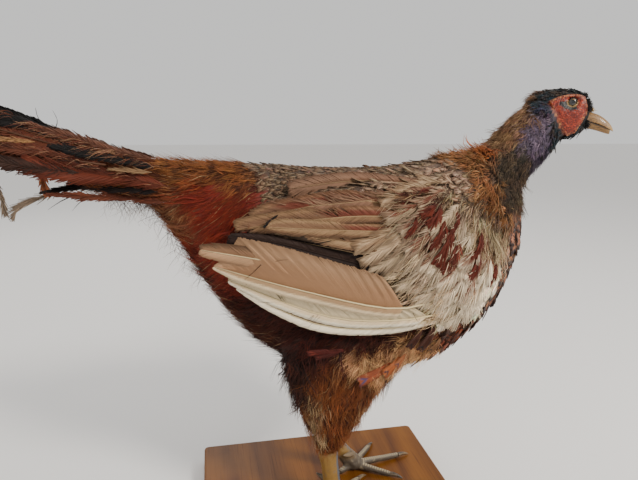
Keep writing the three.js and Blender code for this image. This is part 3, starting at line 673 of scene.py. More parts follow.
# Areas of the plumage: the feathers' length, width and spacing in millimetres, how they stand and stray in
# degrees, their screen colours at the root and at the edge, and their anchor places (x, y outwards, z and
# reach) in the part's frame ("at") and in the head's own ("head").
# An area with "splay" has tufts of strands that fan out so far, and "tip" is where their end colour starts.
# In the others "mark" is where the fringe starts across, where the tip band starts along, and how pale the
# shaft is.
strandLook = {"strands": 8, "tip": 0.5, "faded": 0.05, "rows": 4, "lifted": 0, "gloss": False}
vaneLook = {"barbs": 10, "gloss": False}
areas = {
    "crown": dict(long=7, wide=3.4, gap=1.8, stand=8, stray=12, barbs=6, mark=(0.75, 0.72, 0.1),
        inner=(9, 12, 10), outer=(36, 25, 17), gloss=True, head=[(-4, 0, 14, 20), (-16, 0, 12, 14),
        (6, 6, 11, 9)]),
    "brow": dict(long=7, wide=3.2, gap=1.7, stand=7, stray=10, barbs=6, mark=(0.7, 0.7, 0),
        inner=(11, 28, 38), outer=(20, 38, 44), gloss=True, head=[(-14, 15, 9.5, 9), (-24, 13, 3, 10)]),
    "ear": dict(long=8, wide=3.4, gap=1.9, stand=12, stray=20, barbs=6, mark=(0.6, 0.55, 0),
        inner=(22, 18, 30), outer=(56, 44, 74), gloss=True, head=[(-23, 15, -6, 9)]),
    "throat": dict(long=7.5, wide=3.4, gap=1.9, stand=14, stray=18, barbs=6, mark=(0.7, 0.7, 0),
        inner=(14, 15, 18), outer=(26, 29, 32), gloss=True, head=[(10, 4, -26, 13), (-4, 0, -34, 17),
        (16, 4, -18, 6), (-14, 10, -30, 11), (-19, 16, -13, 5), (-16, 15, -22, 7)]),
    "hind": dict(long=10, wide=0.5, gap=1.9, stand=29, stray=24, splay=2.4, inner=(54, 43, 36),
        outer=(142, 98, 68), gloss=True, head=[(-25, 0, 12, 9), (-30, 7, 6, 9)]),
    "neckSide": dict(long=9, wide=0.62, gap=2.1, stand=15, stray=24, splay=2.6, tip=0.4, faded=0,
        inner=(46, 39, 50), outer=(122, 108, 130), gloss=True, at=[(180, 36, 360, 15), (173, 36, 352, 8),
        (188, 33, 354, 10)], head=[(-27, 16, -17, 9)]),
    "neckFront": dict(long=10, wide=0.6, gap=2.2, stand=13, stray=18, splay=2.6, faded=0,
        inner=(24, 21, 26), outer=(56, 47, 56), gloss=True, at=[(208, 0, 345, 20), (200, 14, 328, 20),
        (196, 0, 318, 22)]),
    "nape": dict(long=13, wide=0.5, gap=2.4, stand=11, stray=26, strands=9, splay=3.4, tip=0.45, faded=0.12,
        inner=(80, 57, 42), outer=(136, 104, 78), at=[(166, 0, 369, 24), (155, 8, 358, 8),
        (164, 22, 366, 14)], head=[(-36, 0, 0, 17), (-31, 0, 8, 9)]),
    "neckBase": dict(long=13, wide=0.62, gap=2.6, stand=13, stray=24, splay=3.4, faded=0.02, rows=3,
        inner=(40, 34, 29), outer=(96, 81, 68), at=[(160, 36, 334, 19), (172, 34, 320, 22),
        (182, 24, 318, 20), (190, 0, 300, 16)]),
    "mantle": dict(long=16, wide=0.7, gap=2.9, stand=16, stray=28, strands=9, splay=4, tip=0.4, faded=0.03,
        inner=(60, 41, 29), outer=(150, 102, 65), at=[(134, 0, 352, 18), (134, 24, 338, 16),
        (142, 38, 318, 14), (150, 42, 298, 12), (122, 18, 345, 13)]),
    "hackle": dict(long=15, wide=0.7, gap=2.1, stand=36, stray=30, strands=9, splay=4, tip=0.4, faded=0,
        inner=(98, 54, 30), outer=(176, 104, 58), at=[(141, 0, 353, 11), (133, 8, 351, 10),
        (143, 14, 348, 8)]),
    "breast": dict(long=16, wide=8.6, gap=4, stand=6, stray=13, barbs=8, mark=(0.62, 0.7, 0.05),
        inner=(131, 86, 66), outer=(65, 55, 57), at=[(184, 0, 268, 34), (176, 30, 262, 26),
        (172, 0, 225, 30), (160, 36, 222, 24)]),
    "underbreast": dict(long=18, wide=8.5, gap=4.4, stand=10, stray=20, barbs=8, mark=(0.6, 0.62, 0.05),
        inner=(116, 53, 26), outer=(58, 27, 16), at=[(140, 0, 178, 32), (120, 40, 190, 24),
        (100, 0, 150, 30)]),
    "scapular": dict(long=16, wide=6.4, gap=3.7, stand=9, stray=26, mark=(0.5, 0.55, 0.3),
        inner=(94, 72, 60), outer=(136, 112, 94), at=[(95, 36, 336, 24), (70, 40, 330, 22),
        (114, 40, 326, 18), (40, 34, 333, 16)]),
    "back": dict(long=13, wide=5.2, gap=3, stand=4, stray=18, barbs=6, mark=(0.45, 0.55, 0.2),
        inner=(66, 52, 43), outer=(98, 76, 60), at=[(85, 0, 344, 20), (50, 0, 337, 26), (0, 0, 335, 30),
        (-45, 0, 335, 30), (0, 32, 326, 16), (-40, 34, 322, 14)]),
    "rumpTop": dict(long=19, wide=0.54, gap=3, stand=12, stray=16, splay=3.2, tip=0.45, faded=0.02, rows=3,
        inner=(76, 42, 24), outer=(138, 84, 46), at=[(-90, 0, 338, 28), (-75, 22, 330, 18),
        (-118, 0, 340, 20)]),
    "rumpSide": dict(long=28, wide=0.5, gap=3.4, stand=7, stray=10, strands=9, splay=4, faded=0.015, rows=3,
        inner=(110, 30, 19), outer=(134, 50, 29), at=[(-88, 38, 303, 27), (-80, 42, 262, 28),
        (-104, 32, 262, 22)]),
    "rumpLow": dict(long=26, wide=0.5, gap=3.3, stand=8, stray=12, strands=9, splay=4, rows=3,
        inner=(106, 60, 38), outer=(154, 102, 70), at=[(-128, 26, 296, 17), (-118, 28, 285, 12),
        (-132, 24, 308, 12)]),
    "tailBase": dict(long=30, wide=0.54, gap=3.3, stand=6, stray=12, strands=9, splay=4.5, tip=0.55,
        faded=0.03, rows=3, inner=(90, 47, 29), outer=(136, 79, 47), at=[(-165, 0, 345, 30),
        (-205, 0, 356, 30), (-240, 0, 366, 30), (-150, 20, 325, 18), (-132, 20, 312, 10)]),
    # flank: dark chestnut, darkened further as painted shade from the wing above
    "flank": dict(long=26, wide=0.6, gap=4.2, stand=12, stray=24, splay=4.8, faded=0.004, rows=3,
        inner=(38, 13, 8), outer=(66, 22, 11), at=[(40, 54, 190, 30), (0, 50, 215, 30), (-45, 46, 235, 26),
        (84, 54, 194, 16)]),
    "down": dict(long=17, wide=0.36, gap=2.9, stand=22, stray=40, strands=12, splay=6, tip=0.4, rows=3,
        inner=(158, 112, 78), outer=(222, 176, 130), at=[(48, 50, 164, 24), (72, 48, 166, 24),
        (92, 44, 168, 14), (22, 52, 173, 14), (46, 54, 180, 16)]),
    "belly": dict(long=25, wide=0.66, gap=4.2, stand=14, stray=24, strands=7, splay=5, faded=0.008, rows=3,
        inner=(33, 14, 9), outer=(54, 22, 13), at=[(50, 0, 140, 34), (0, 0, 148, 34), (-40, 0, 168, 30),
        (60, 30, 148, 20)]),
    "vent": dict(long=26, wide=0.54, gap=4, stand=10, stray=26, splay=5.5, faded=0.02, rows=3,
        inner=(46, 20, 13), outer=(80, 38, 23), at=[(-80, 0, 200, 30), (-105, 0, 245, 28),
        (-60, 30, 200, 24), (-135, 0, 290, 20)]),
    "thigh": dict(long=20, wide=0.48, gap=3.5, stand=12, stray=27, splay=5, tip=0.4, faded=0.02,
        inner=(66, 31, 17), outer=(124, 69, 34), at=[(12, 44, 146, 26), (0, 34, 118, 24), (38, 36, 142, 20),
        (-3, 30, 92, 15), (17, 22, 92, 16), (30, 18, 116, 18), (10, 10, 120, 18)]),
    "shin": dict(long=17, wide=0.44, gap=2.9, stand=8, stray=18, splay=3.6, tip=0.4, faded=0.1,
        inner=(104, 82, 60), outer=(172, 146, 112), at=[(-17, 40, 130, 9), (-18, 36, 112, 9),
        (-14, 32, 97, 9), (38, 36, 136, 11), (30, 32, 122, 12), (20, 30, 110, 9)]),
    # shoulder: pale cream, lightened near to white as painted light on this downward-facing edge
    "shoulder": dict(long=18, wide=9, gap=3.8, stand=5, stray=16, mark=(0.5, 0.55, 0.4),
        inner=(244, 230, 206), outer=(253, 246, 228), at=[(136, 56, 240, 22), (128, 58, 216, 29),
        (112, 58, 200, 20)]),
    "lesser": dict(long=17, wide=6.6, gap=3.6, stand=11, stray=26, mark=(0.4, 0.5, 0.3), inner=(92, 67, 50),
        outer=(142, 112, 84), at=[(112, 62, 286, 24), (92, 62, 300, 22), (112, 64, 256, 18),
        (70, 62, 310, 18), (138, 50, 276, 18)]),
    "ruffle": dict(long=24, wide=0.5, gap=1, stand=7, stray=14, strands=6, splay=5.5, tip=0.35, faded=0.1,
        lifted=6.5, inner=(102, 81, 63), outer=(206, 184, 154)),
    "wingBed": dict(long=15, wide=7, gap=6.5, stand=1.5, stray=10, barbs=4, mark=(0.6, 0.65, 0),
        inner=(74, 56, 44), outer=(96, 76, 60), at=[(60, 64, 270, 34), (20, 62, 285, 30),
        (-20, 58, 290, 26), (70, 64, 225, 24), (30, 62, 245, 22), (-55, 52, 290, 22), (95, 62, 215, 18)]),
}


def anchorsOf(area):
    places = []
    for x, y, z, reach in area.get("at", []):
        places += [(np.array((x, side * y, z)) * mm, reach * mm) for side in (-1, 1)]
    for x, y, z, reach in area.get("head", []):
        places += [(fromHead((x, side * y, z)), reach * mm) for side in (-1, 1)]
    return places


for name, area in areas.items():
    hairy = "splay" in area
    area = areas[name] = {**(strandLook if hairy else vaneLook), **area}
    area["inner"], area["outer"] = tint(*area["inner"]), tint(*area["outer"])
    if hairy:
        area["mark"] = (2, area["tip"], 0)
areaNames = list(areas)


def areaWeights(points):  # how much each area claims each point
    jitter = roughField(points, 9 * mm, 1) * 0.14 + roughField(points, 3.5 * mm, 2) * 0.12
    weights = []
    for k, name in enumerate(areaNames):
        best = np.full(len(points), 9.0)
        for place, reach in anchorsOf(areas[name]):
            best = np.minimum(best, np.linalg.norm(points - place, axis=1) / reach)
        weights.append(-best + jitter * (1 if k % 2 else -1))
    return np.array(weights).T


def areaColors(weights, soft=0.09):  # inner and outer colours, blended where areas meet
    share = np.exp((weights - weights.max(1, keepdims=True)) / soft)
    share /= share.sum(1, keepdims=True)
    return [share @ np.array([areas[name][key] for name in areaNames]) for key in ("inner", "outer")]


barePlan = {  # limits in the head's frame, and the height below which the shanks are bare
    "headReach": 34, "faceEdge": -0.8, "cereFrom": 11, "cereBetween": (-23, 4), "shankBelow": 84,
    "x": [-20, 0, 14], "halfWidth": [8, 9.5, 5],
}


def bareSpots(points):  # true where no feather grows: bare face, eye, cere, shanks and feet
    p = barePlan
    spots = toHead(points)
    x, z = spots[:, 0], spots[:, 2]
    inHead = np.linalg.norm(spots - headPlan["middle"], axis=1) < p["headReach"]
    face = insideOutline(spots[:, [0, 2]], facePlan["outline"])
    wide = np.abs(spots[:, 1]) > np.interp(x, p["x"], p["halfWidth"])
    low, high = p["cereBetween"]
    bare = inHead & wide & (face > p["faceEdge"])
    bare |= inHead & (x > p["cereFrom"]) & (z < high) & (z > low)
    return bare | (points[:, 2] < p["shankBelow"] * mm)


def scatter(rng, tries=90000):  # feather roots on the skin, spaced as each area asks
    triangles = np.array([(f[0], f[k], f[k + 1]) for f in skinFaces for k in range(1, len(f) - 1)])
    corners = [skinPoints[triangles[:, k]] for k in range(3)]
    cross = np.cross(corners[1] - corners[0], corners[2] - corners[0])
    size = np.linalg.norm(cross, axis=1)
    chosen = rng.choice(len(size), tries, p=size / size.sum())
    a, b = rng.random(tries), rng.random(tries)
    flip = a + b > 1
    a[flip], b[flip] = 1 - a[flip], 1 - b[flip]
    points = sum(corner[chosen] * share[:, None] for corner, share in zip(corners, (1 - a - b, a, b)))
    points = points[~bareSpots(points)]
    area = areaWeights(points).argmax(1)
    gaps = np.array([areas[name]["gap"] * mm for name in areaNames])[area]
    cell = gaps.max()
    grid, kept = {}, []
    for k, (point, gap) in enumerate(zip(points, gaps)):
        home = tuple((point // cell).astype(int))
        near = [j for dx in (-1, 0, 1) for dy in (-1, 0, 1) for dz in (-1, 0, 1)
                for j in grid.get((home[0] + dx, home[1] + dy, home[2] + dz), ())]
        if near and np.min(np.sum((points[near] - point) ** 2, axis=1)) < gap * gap:
            continue
        grid.setdefault(home, []).append(k)
        kept.append(k)
    return points[kept], area[kept]


roots, rootArea = scatter(np.random.default_rng(11))
rootInner, rootOuter = areaColors(areaWeights(roots))
print("feather roots", len(roots))


def outlineOf(rows, narrow, belly, tip):  # half width along a feather, as a share of its widest
    v = np.linspace(0, 1, rows)
    rise = narrow + (1 - narrow) * np.sin(np.clip(v / belly, 0, 1) * math.pi / 2)
    fall = np.sqrt(np.clip(1 - ((v - belly) / (1 - belly)) ** 2, 0, 1))
    return np.where(v < belly, rise, np.maximum(fall, tip))


def vary(rng, spread, shape):  # random factors about 1
    return np.exp(rng.normal(0, spread, shape))


def shade(color, many, rng, spread):  # one colour for many feathers, each a little lighter or darker
    return np.atleast_2d(color) * vary(rng, spread, (many, 1)) * vary(rng, spread * 0.25, (many, 3))


def layVanes(coat, spots, area, rng, colors):
    # Contour feathers: a slim leaf along the shaft, and loose barbs that fan out to the feather's outline.
    many, fine, leafWide = len(spots), 13, 0.62
    if not many:
        return
    length = area["long"] * mm * vary(rng, 0.14, many)
    angles = np.radians(rng.normal(0, area["stray"], many))
    paths, normals = walk(spots, length * 0.98, angles, 4)
    paths, normals = finer(paths, fine), unit(finer(normals, fine))
    v = np.linspace(0, 1, fine)
    stand = np.radians(area["stand"] * vary(rng, 0.4, many))
    height = length[:, None] * np.sin(stand)[:, None] * v[None, :] ** 1.1
    height += (rng.normal(0, 0.03, many) * length)[:, None] * v[None, :] ** 3 - 0.3 * mm
    paths = paths + normals * height[..., None]
    roll = rng.normal(0, 0.16, many)
    normals = unit(normals + np.cross(along(paths), normals) * roll[:, None, None])
    across = unit(np.cross(along(paths), normals))
    half = area["wide"] * mm / 2 * vary(rng, 0.12, many)[:, None] * outlineOf(fine, 0.5, 0.55, 0.28)
    own, inner, outer = rng.random(many), *(shade(color, many, rng, 0.2) for color in colors)
    mark = np.tile(area["mark"], (many, 1))
    leaf = slice(None, None, 3)
    slim = half[:, leaf] * leafWide
    vane = vaneSpots(many, 5, own)
    vane[..., 0] *= leafWide
    points = ribbons(paths[:, leaf], normals[:, leaf], slim, 0.05 * mm + slim * 0.12, slim * 0.18)
    coat.add(points, vane, inner, outer, mark, bakeSpots(spots, vane))
    barbs = area["barbs"]
    who = np.arange(many)
    for k in range(barbs):
        hand = 1 if k % 2 else -1
        start = 0.06 + 0.62 * (k // 2) / (barbs / 2 - 1) + rng.normal(0, 0.03, many)
        end = np.minimum(start + 0.30 + 0.10 * rng.random(many) + 0.05 * rng.normal(0, 1, many), 1.04)
        strand, facing, at = [], [], []
        for q in (0, 0.5, 1):
            at.append(start + (end - start) * q)
            spot = np.clip(at[-1] * (fine - 1), 0, fine - 1)
            row = np.minimum(spot.astype(int), fine - 2)
            share = (spot - row)[:, None]
            place = paths[who, row] * (1 - share) + paths[who, row + 1] * share
            reach = half[who, row] * (1 - share[:, 0]) + half[who, row + 1] * share[:, 0]
            out = hand * q**0.85 * reach * (0.92 + 0.2 * rng.random(many))
            lift = (0.12 * q + 0.25 * q * rng.random(many)) * mm - 0.16 * q * reach
            strand.append(place + across[who, row] * out[:, None] + normals[who, row] * lift[:, None])
            facing.append(normals[who, row])
        wide = area["wide"] * mm * 0.085 * (10 / barbs)
        widths = wide * np.array([1.1, 1, 0.35])[None] * vary(rng, 0.15, many)[:, None]
        vane = vaneSpots(many, 3, own)
        vane[..., 0] = hand * np.array([0, 0.5, 1])[None, :, None]
        vane[..., 1] = np.stack(at, 1)[..., None]
        tone = vary(rng, 0.13, (many, 1))
        points = ribbons(np.stack(strand, 1), np.stack(facing, 1), widths, widths * 0.35)
        coat.add(points, vane, inner * tone, outer * tone, mark, bakeSpots(spots, vane))


fadedTones = tint(150, 118, 84) * 0.8, tint(186, 156, 118)  # root and end of a bleached strand


def layHairs(coat, spots, area, rng, colors):
    tufts, strands, rows = len(spots), area["strands"], area["rows"]
    if not tufts:
        return
    long = area["long"] * mm * vary(rng, 0.18, tufts)
    paths, normals = walk(spots, long, np.radians(rng.normal(0, area["stray"], tufts)), rows)
    across = unit(np.cross(along(paths), normals))
    stand = np.sin(np.radians(area["stand"] * vary(rng, 0.4, tufts))) * long
    v = np.linspace(0, 1, rows)
    spread = area["splay"] * mm
    lay = []
    for _ in range(strands):
        start, fan, bend = (rng.normal(0, spread * share, tufts)[:, None] for share in (0.35, 0.55, 0.5))
        rise = stand * (0.35 + 0.9 * rng.random(tufts))
        reach = 0.72 + 0.36 * rng.random(tufts)
        sideways = start + fan * v + bend * np.sin(v * math.pi)
        lift = rise[:, None] * v**1.15 + (area["lifted"] - 0.3) * mm
        body = paths[:, :1] + (paths - paths[:, :1]) * reach[:, None, None]
        lay.append(body + across * sideways[..., None] + normals * lift[..., None])
    strand = np.concatenate(lay)
    many = len(strand)
    taper = np.interp(v, [0, 0.35, 0.7, 1], [1, 1, 0.75, 0.12])
    half = area["wide"] * mm / 2 * vary(rng, 0.2, many)[:, None] * taper
    vane = vaneSpots(many, rows, np.tile(rng.random(tufts), strands))
    tones = [np.tile(shade(color, tufts, rng, 0.22), (strands, 1)) * vary(rng, 0.16, (many, 1))
             for color in colors]
    faded = (rng.random(many) < area["faded"])[:, None]
    own, ends = (np.where(faded, pale, tone) for pale, tone in zip(fadedTones, tones))
    points = ribbons(strand, np.tile(normals, (strands, 1, 1)), half, half * 0.8)
    bake = bakeSpots(np.tile(spots, (strands, 1)), vane)
    coat.add(points, vane, own, ends, np.tile(area["mark"], (many, 1)), bake)


agedTint = (1, 0.95, 0.86)  # how far old feathers have lost their green and blue
quillTone = (0.60, 0.49, 0.33)


def plumage(name, rough, depth, grain=26, sheen=None, share=0):
    finish = Finish(name, Roughness=rough, Specular_IOR_Level=0.3)
    across, run, own = finish.split(finish.attribute("vane", 1))
    edge, tip, shaft = finish.split(finish.attribute("mark", 1))
    r = across.combine("ABSOLUTE")
    barbs = finish.noise(finish.join(run * grain - r * 9, r * 1.3, own * 60), 1.0, 3, 0.6)
    fringe = finish.step(r + (barbs - 0.5) * 0.5 - edge, -0.14, 0.14)
    band = finish.step(run + (barbs - 0.5) * 0.2 - r * 0.08 - tip, -0.1, 0.1)
    outer = fringe.combine("MAXIMUM", band)
    color = finish.mix(outer, finish.attribute("inner"), finish.attribute("outer"))
    quill = finish.step(r, 0.2, 0.04) * shaft * finish.step(run, 0.95, 0.75)
    color = finish.mix(quill, color, quillTone)
    value = 1 - depth / 2 + barbs * depth
    color = finish.mix(1.0, color, finish.join(value, value * agedTint[1], value * agedTint[2]), "MULTIPLY")
    # Painted sheen: noise patches of the sheen colours are mixed into the base colour.
    if sheen:
        patches = finish.noise(finish.objectPlace(), 110, 3, 0.6)
        tinted = finish.node("ShaderNodeValToRGB", {"stops": sheen}, [patches])
        color = finish.mix(share, color, tinted)
        finish.surface(Metallic=0.3)
    finish.surface(Base_Color=color)
    finish.bump(barbs, 0.35, 0.0004)
    return finish


rustSpots = [  # chestnut patches of the wing: x, z, half width and half height
    (71, 298, 13, 13), (79, 267, 16, 22), (114, 258, 7, 18), (51, 302, 9, 8), (103, 249, 7, 12),
    (135, 243, 5, 8),
]
rust = tint(102, 40, 26)


def rusty(points):  # 1 inside the chestnut patches
    amount = np.zeros(len(points))
    for x, z, wide, tall in rustSpots:
        reach = np.hypot((points[:, 0] / mm - x) / wide, (points[:, 2] / mm - z) / tall)
        amount = np.maximum(amount, blendOf(1.2, 0.8, reach))
    return amount[:, None]


groups = {  # pieces of the coat: the areas in each and a slot name
    "coat_head": (["crown", "brow", "ear", "throat", "hind"], "neck_plumage"),
    "coat_neck": (["neckSide", "neckFront", "nape", "neckBase"], "neck_plumage"),
    "coat_breast": (["mantle", "hackle", "breast", "underbreast"], "body_plumage"),
    "coat_back": (["back", "scapular"], "body_plumage"),
    "coat_rump": (["rumpTop", "rumpSide", "rumpLow"], "body_plumage"),
    "coat_tail_base": (["tailBase"], "body_plumage"),
    "coat_belly": (["belly", "vent"], "body_plumage"),
    "coat_flanks": (["flank", "down"], "body_plumage"),
    "coat_thighs": (["thigh", "shin"], "thigh_plumage"),
    "coat_wings": (["shoulder", "lesser", "wingBed"], "wing_plumage"),
}
dryPlumage = plumage("dry plumage", 0.72, 0.7)
# colours of the painted sheen on the head and the neck
headSheen = [(0.34, tint(18, 44, 40)), (0.46, tint(18, 54, 70)), (0.56, tint(74, 52, 38)),
             (0.7, tint(30, 26, 40))]
neckSheen = [(0.34, tint(40, 38, 44)), (0.46, tint(92, 78, 112)), (0.58, tint(124, 112, 128)),
             (0.72, tint(44, 36, 52))]
silks = {
    "coat_head": plumage("glossy head plumage", 0.46, 0.9, sheen=headSheen, share=0.36),
    "coat_neck": plumage("silky neck plumage", 0.5, 0.9, sheen=neckSheen, share=0.25),
}
sweptPlan = {  # loose strands swept over the coverts, paler towards the front edge of the wing
    "from": 48, "shift": (-8, 0, -10), "paleShare": 0.25,
    "bright": 1.2, "dim": 0.62, "dimAbove": (250, 300), "rustRoot": 0.7, "rustEnd": 1.15,
}


def layCovertStrands(coat, rng):
    p, look = sweptPlan, areas["ruffle"]
    spots = roots[np.isin(rootArea, [areaNames.index(name) for name in ("lesser", "wingBed")])]
    spots = spots[spots[:, 0] > p["from"] * mm]
    red = rusty(spots + np.array(p["shift"]) * mm) * (rng.random((len(spots), 1)) > p["paleShare"])
    light = p["bright"] - p["dim"] * blendOf(*p["dimAbove"], spots[:, 2] / mm)[:, None]
    colors = [(look[key] + (rust * p[lit] - look[key]) * red) * light
              for key, lit in (("inner", "rustRoot"), ("outer", "rustEnd"))]
    layHairs(coat, spots, look, rng, colors)


for number, (name, (members, slotName)) in enumerate(groups.items()):
    rng = np.random.default_rng(100 + number)
    coat, silk, swept = Coat(name), Coat(name + "_silk"), Coat("covert_strands")
    if name == "coat_wings":
        layCovertStrands(swept, rng)
    for member in members:
        area = areas[member]
        mine = rootArea == areaNames.index(member)
        lay = layHairs if "splay" in area else layVanes
        lay(silk if area["gloss"] else coat, roots[mine], area, rng, (rootInner[mine], rootOuter[mine]))
    for part, finish in ((coat, dryPlumage), (swept, dryPlumage), (silk, silks.get(name))):
        if part.count:
            ship(part.build(finish), slotName)


# Long feathers: a shaft with two webs, each web a row of overlapping barbs that part and fray.
featherLook = {  # how a long feather is made where its own plan says nothing else
    "pitch": 1.4, "rows": 4,  # distance from barb to barb, and points along each
    "angle": 42, "flare": 0, "neat": 0.3,  # the barbs' angle to the shaft, more near the root, and its spread
    "splits": 6, "split": 5.0,  # how many times the web parts, and how wide
    "fray": 0.1, "rough": 0.03, "droop": 0.05,  # share of ragged clumps, uneven ends, and the web's curve
    "start": 0.03, "narrow": 0.6, "late": 1, "belly": 0.6,  # where the web starts and is widest
    "tip": 0.25, "point": 1,
    "quill": 0.7, "quillColor": tint(205, 190, 155), "ridge": 0.09,
}


class LongFeathers(Coat):
    def __init__(self, name):
        super().__init__(name)
        self.laid = 0

    def lay(self, shaft, face, side, rng, upper, lower, **style):
        p = {**featherLook, **style}
        length = stepsOf(shaft).sum()
        own = rng.random()
        self.laid += 1
        strip = (self.laid * 0.0193) % 0.96 + 0.02  # this feather's own strip of the bake
        for hand, web in ((1, upper), (-1, lower)):
            self.layWeb(shaft, face, length, -hand * side, web, rng, own, strip, p)
        rows = 12
        at = np.linspace(0, 1, rows)
        paths, up = alongShaft(shaft, face, at)
        half = p["quill"] * mm * np.interp(at, [0, 1], [1, 0.22])
        vane = vaneSpots(1, rows, np.array([own]))
        vane[..., 0] = 1
        bake = np.stack([0.03 + 0.94 * vane[..., 1], np.full(vane.shape[:-1], strip)], -1)
        paths = paths + up * 0.15 * mm
        points = ribbons(paths[None], up[None], half[None], half[None] * 1.1)
        self.add(points, vane, [p["quillColor"]], [p["quillColor"]], [(0.9, 2, 0)], bake)

    def layWeb(self, shaft, face, length, hand, web, rng, own, strip, p):
        wide, colors, *special = web
        for change in special:  # a web may be shaped otherwise than its feather
            p = {**p, **change}
        many = int(length * (1.0 - p["start"]) / (p["pitch"] * mm))
        at = np.linspace(p["start"], 0.995, many)
        starts, up = alongShaft(shaft, face, at)
        before, after = (alongShaft(shaft, face, spot)[0] for spot in (at - 0.01, np.minimum(at + 0.01, 1)))
        ahead = unit(after - before)
        across = unit(np.cross(ahead, up)) * hand
        belly, neat = p["belly"], p["neat"]
        rise = np.sin(np.clip(at / belly, 0, 1) * math.pi / 2) ** p["late"]
        rise = p["narrow"] + (1 - p["narrow"]) * rise
        fall = np.sqrt(np.clip(1 - ((at - belly) / (1.0 - belly)) ** 2, 0, 1))
        reach = wide * mm * np.where(at < belly, rise, np.maximum(fall, p["tip"] * (1 - at) * 4))
        clump = np.cumsum(rng.random(many) < p["splits"] / many)
        swing = rng.normal(0, p["split"], clump.max() + 1)[clump]
        ragged = (rng.random(clump.max() + 1) < p["fray"])[clump]
        tilt = p["angle"] - 16 * blendOf(0.6, 1.0, at) + p["flare"] * blendOf(0.6, 0.1, at) + swing
        tilt = tilt + rng.normal(0, neat, many) + ragged * rng.normal(0, 9, many)
        tilt = np.radians(np.maximum(tilt, 10))
        reach = reach / np.maximum(np.sin(tilt), 0.42) * (1 - p["rough"] * rng.random(many))
        reach = reach * np.where(ragged, 0.55 + 0.6 * rng.random(many), 1)
        reach = np.minimum(reach, p["point"] * (1.0 - at) * length / np.cos(tilt) + 2.0 * mm)
        q = np.linspace(0, 1, p["rows"]) ** 0.9
        way = ahead * np.cos(tilt)[:, None] + across * np.sin(tilt)[:, None]
        paths = starts[:, None] + way[:, None] * (reach[:, None] * q)[..., None]
        paths = paths + ahead[:, None] * (reach[:, None] * 0.10 * q**2)[..., None]
        lift = -p["droop"] * reach[:, None] * q**2 + (rng.random(many)[:, None] - 0.5) * neat * 0.4 * mm * q
        lift = lift + (ragged * rng.normal(0, 0.12, many))[:, None] * reach[:, None] * q**2
        paths = paths + up[:, None] * lift[..., None]
        taper = np.interp(q, [0, 0.5, 0.8, 1], [1, 1, 0.85, 0.45])
        half = p["pitch"] * mm * 0.68 * taper[None] * np.where(ragged, 0.6, 1)[:, None]
        points = ribbons(paths, np.repeat(up[:, None], p["rows"], 1), half, half * p["ridge"])
        points[:, :, 0] += up[:, None] * 0.06 * mm * hand
        points[:, :, 2] -= up[:, None] * 0.06 * mm * hand
        vane = vaneSpots(many, p["rows"], np.full(many, own))
        vane[..., 0] = q[None, :, None] * hand
        vane[..., 1] = at[:, None, None] + np.array([-1, 0, 1]) * 0.4 * p["pitch"] * mm / length
        bake = np.stack([0.03 + 0.94 * vane[..., 1], strip + 0.0085 * vane[..., 0]], -1)
        inner, outer = colors(at, at * length / mm, rng)
        self.add(points, vane, inner, outer, np.tile((0.6, 2, 0), (many, 1)), bake)


def stepsOf(curve):  # distances from point to point
    return np.linalg.norm(np.diff(curve, axis=0), axis=1)


def runOf(curve):  # distance of each point from the start
    return np.r_[0, np.cumsum(stepsOf(curve))]


def pick(curve, at, steps):  # places on a curve, at is in the same measure as steps
    return np.stack([np.interp(at, steps, curve[:, k]) for k in range(3)], -1)


def alongShaft(shaft, face, at):
    steps = np.linspace(0, 1, len(shaft))
    return pick(shaft, at, steps), unit(pick(face, at, steps))


def smoothCurve(controls, count=24):  # an even curve through a few control points
    curve = finer(np.asarray(controls, float)[None], count * 4)[0]
    run = runOf(curve)
    return pick(curve, np.linspace(0, run[-1], count), run)


def plain(inner, outer, spread=0.07):  # even colours with a little change from barb to barb
    def colors(at, run, rng):
        slow = np.interp(at, np.linspace(0, 1, 9), rng.normal(0, spread, 9))
        drift = np.exp(slow + rng.normal(0, spread * 0.5, len(at)))[:, None]
        return np.asarray(inner) * drift, np.asarray(outer) * drift
    return colors


def streaked(inner, outer, streak, start, end, share):  # a coloured streak between two places along the web
    def colors(at, run, rng):
        a, b = plain(inner, outer)(at, run, rng)
        inside = blendOf(start, start + 0.08, at) * blendOf(end, end - 0.08, at) * share
        inside = (inside * (0.75 + 0.25 * rng.random(len(at))))[:, None]
        return a + (streak - a) * inside, b + (streak - b) * (inside * 0.35)
    return colors


def treeOf(names):  # one search tree over some of the frame's nodes
    points, faces = [], []
    for name in names:
        start = sum(len(p) for p in points)
        points.append(pointsOf(nodes[name]))
        faces += [tuple(start + k for k in f.vertices) for f in nodes[name].data.polygons]
    return BVHTree.FromPolygons([Vector(p) for p in np.concatenate(points)], faces)


def sideSpot(tree, side, x, z, out):  # a place so far out over a surface, seen square from one side
    spot = tree.ray_cast(Vector((x * mm, side * 0.2, z * mm)), Vector((0, -side, 0)))[0]
    if spot is None:
        spot = tree.find_nearest(Vector((x * mm, side * 0.05, z * mm)))[0]
    return np.array((x * mm, spot.y + side * out * mm, z * mm))


def outwardFace(shaft, side, tilt):  # the vane's normal, square to the shaft and away from the body
    return square(np.tile([0.0, side, tilt], (len(shaft), 1)), unit(np.gradient(shaft, axis=0)))


def layFeather(coat, tree, side, rng, spots, tilt, **style):  # spots: x, z and how far out over the tree
    shaft = smoothCurve([sideSpot(tree, side, *spot) for spot in spots])
    coat.lay(shaft, outwardFace(shaft, side, tilt), side, rng, **style)


def jog(point, rng, amount):
    return tuple(np.array(point, float) + rng.normal(0, amount, len(point)))


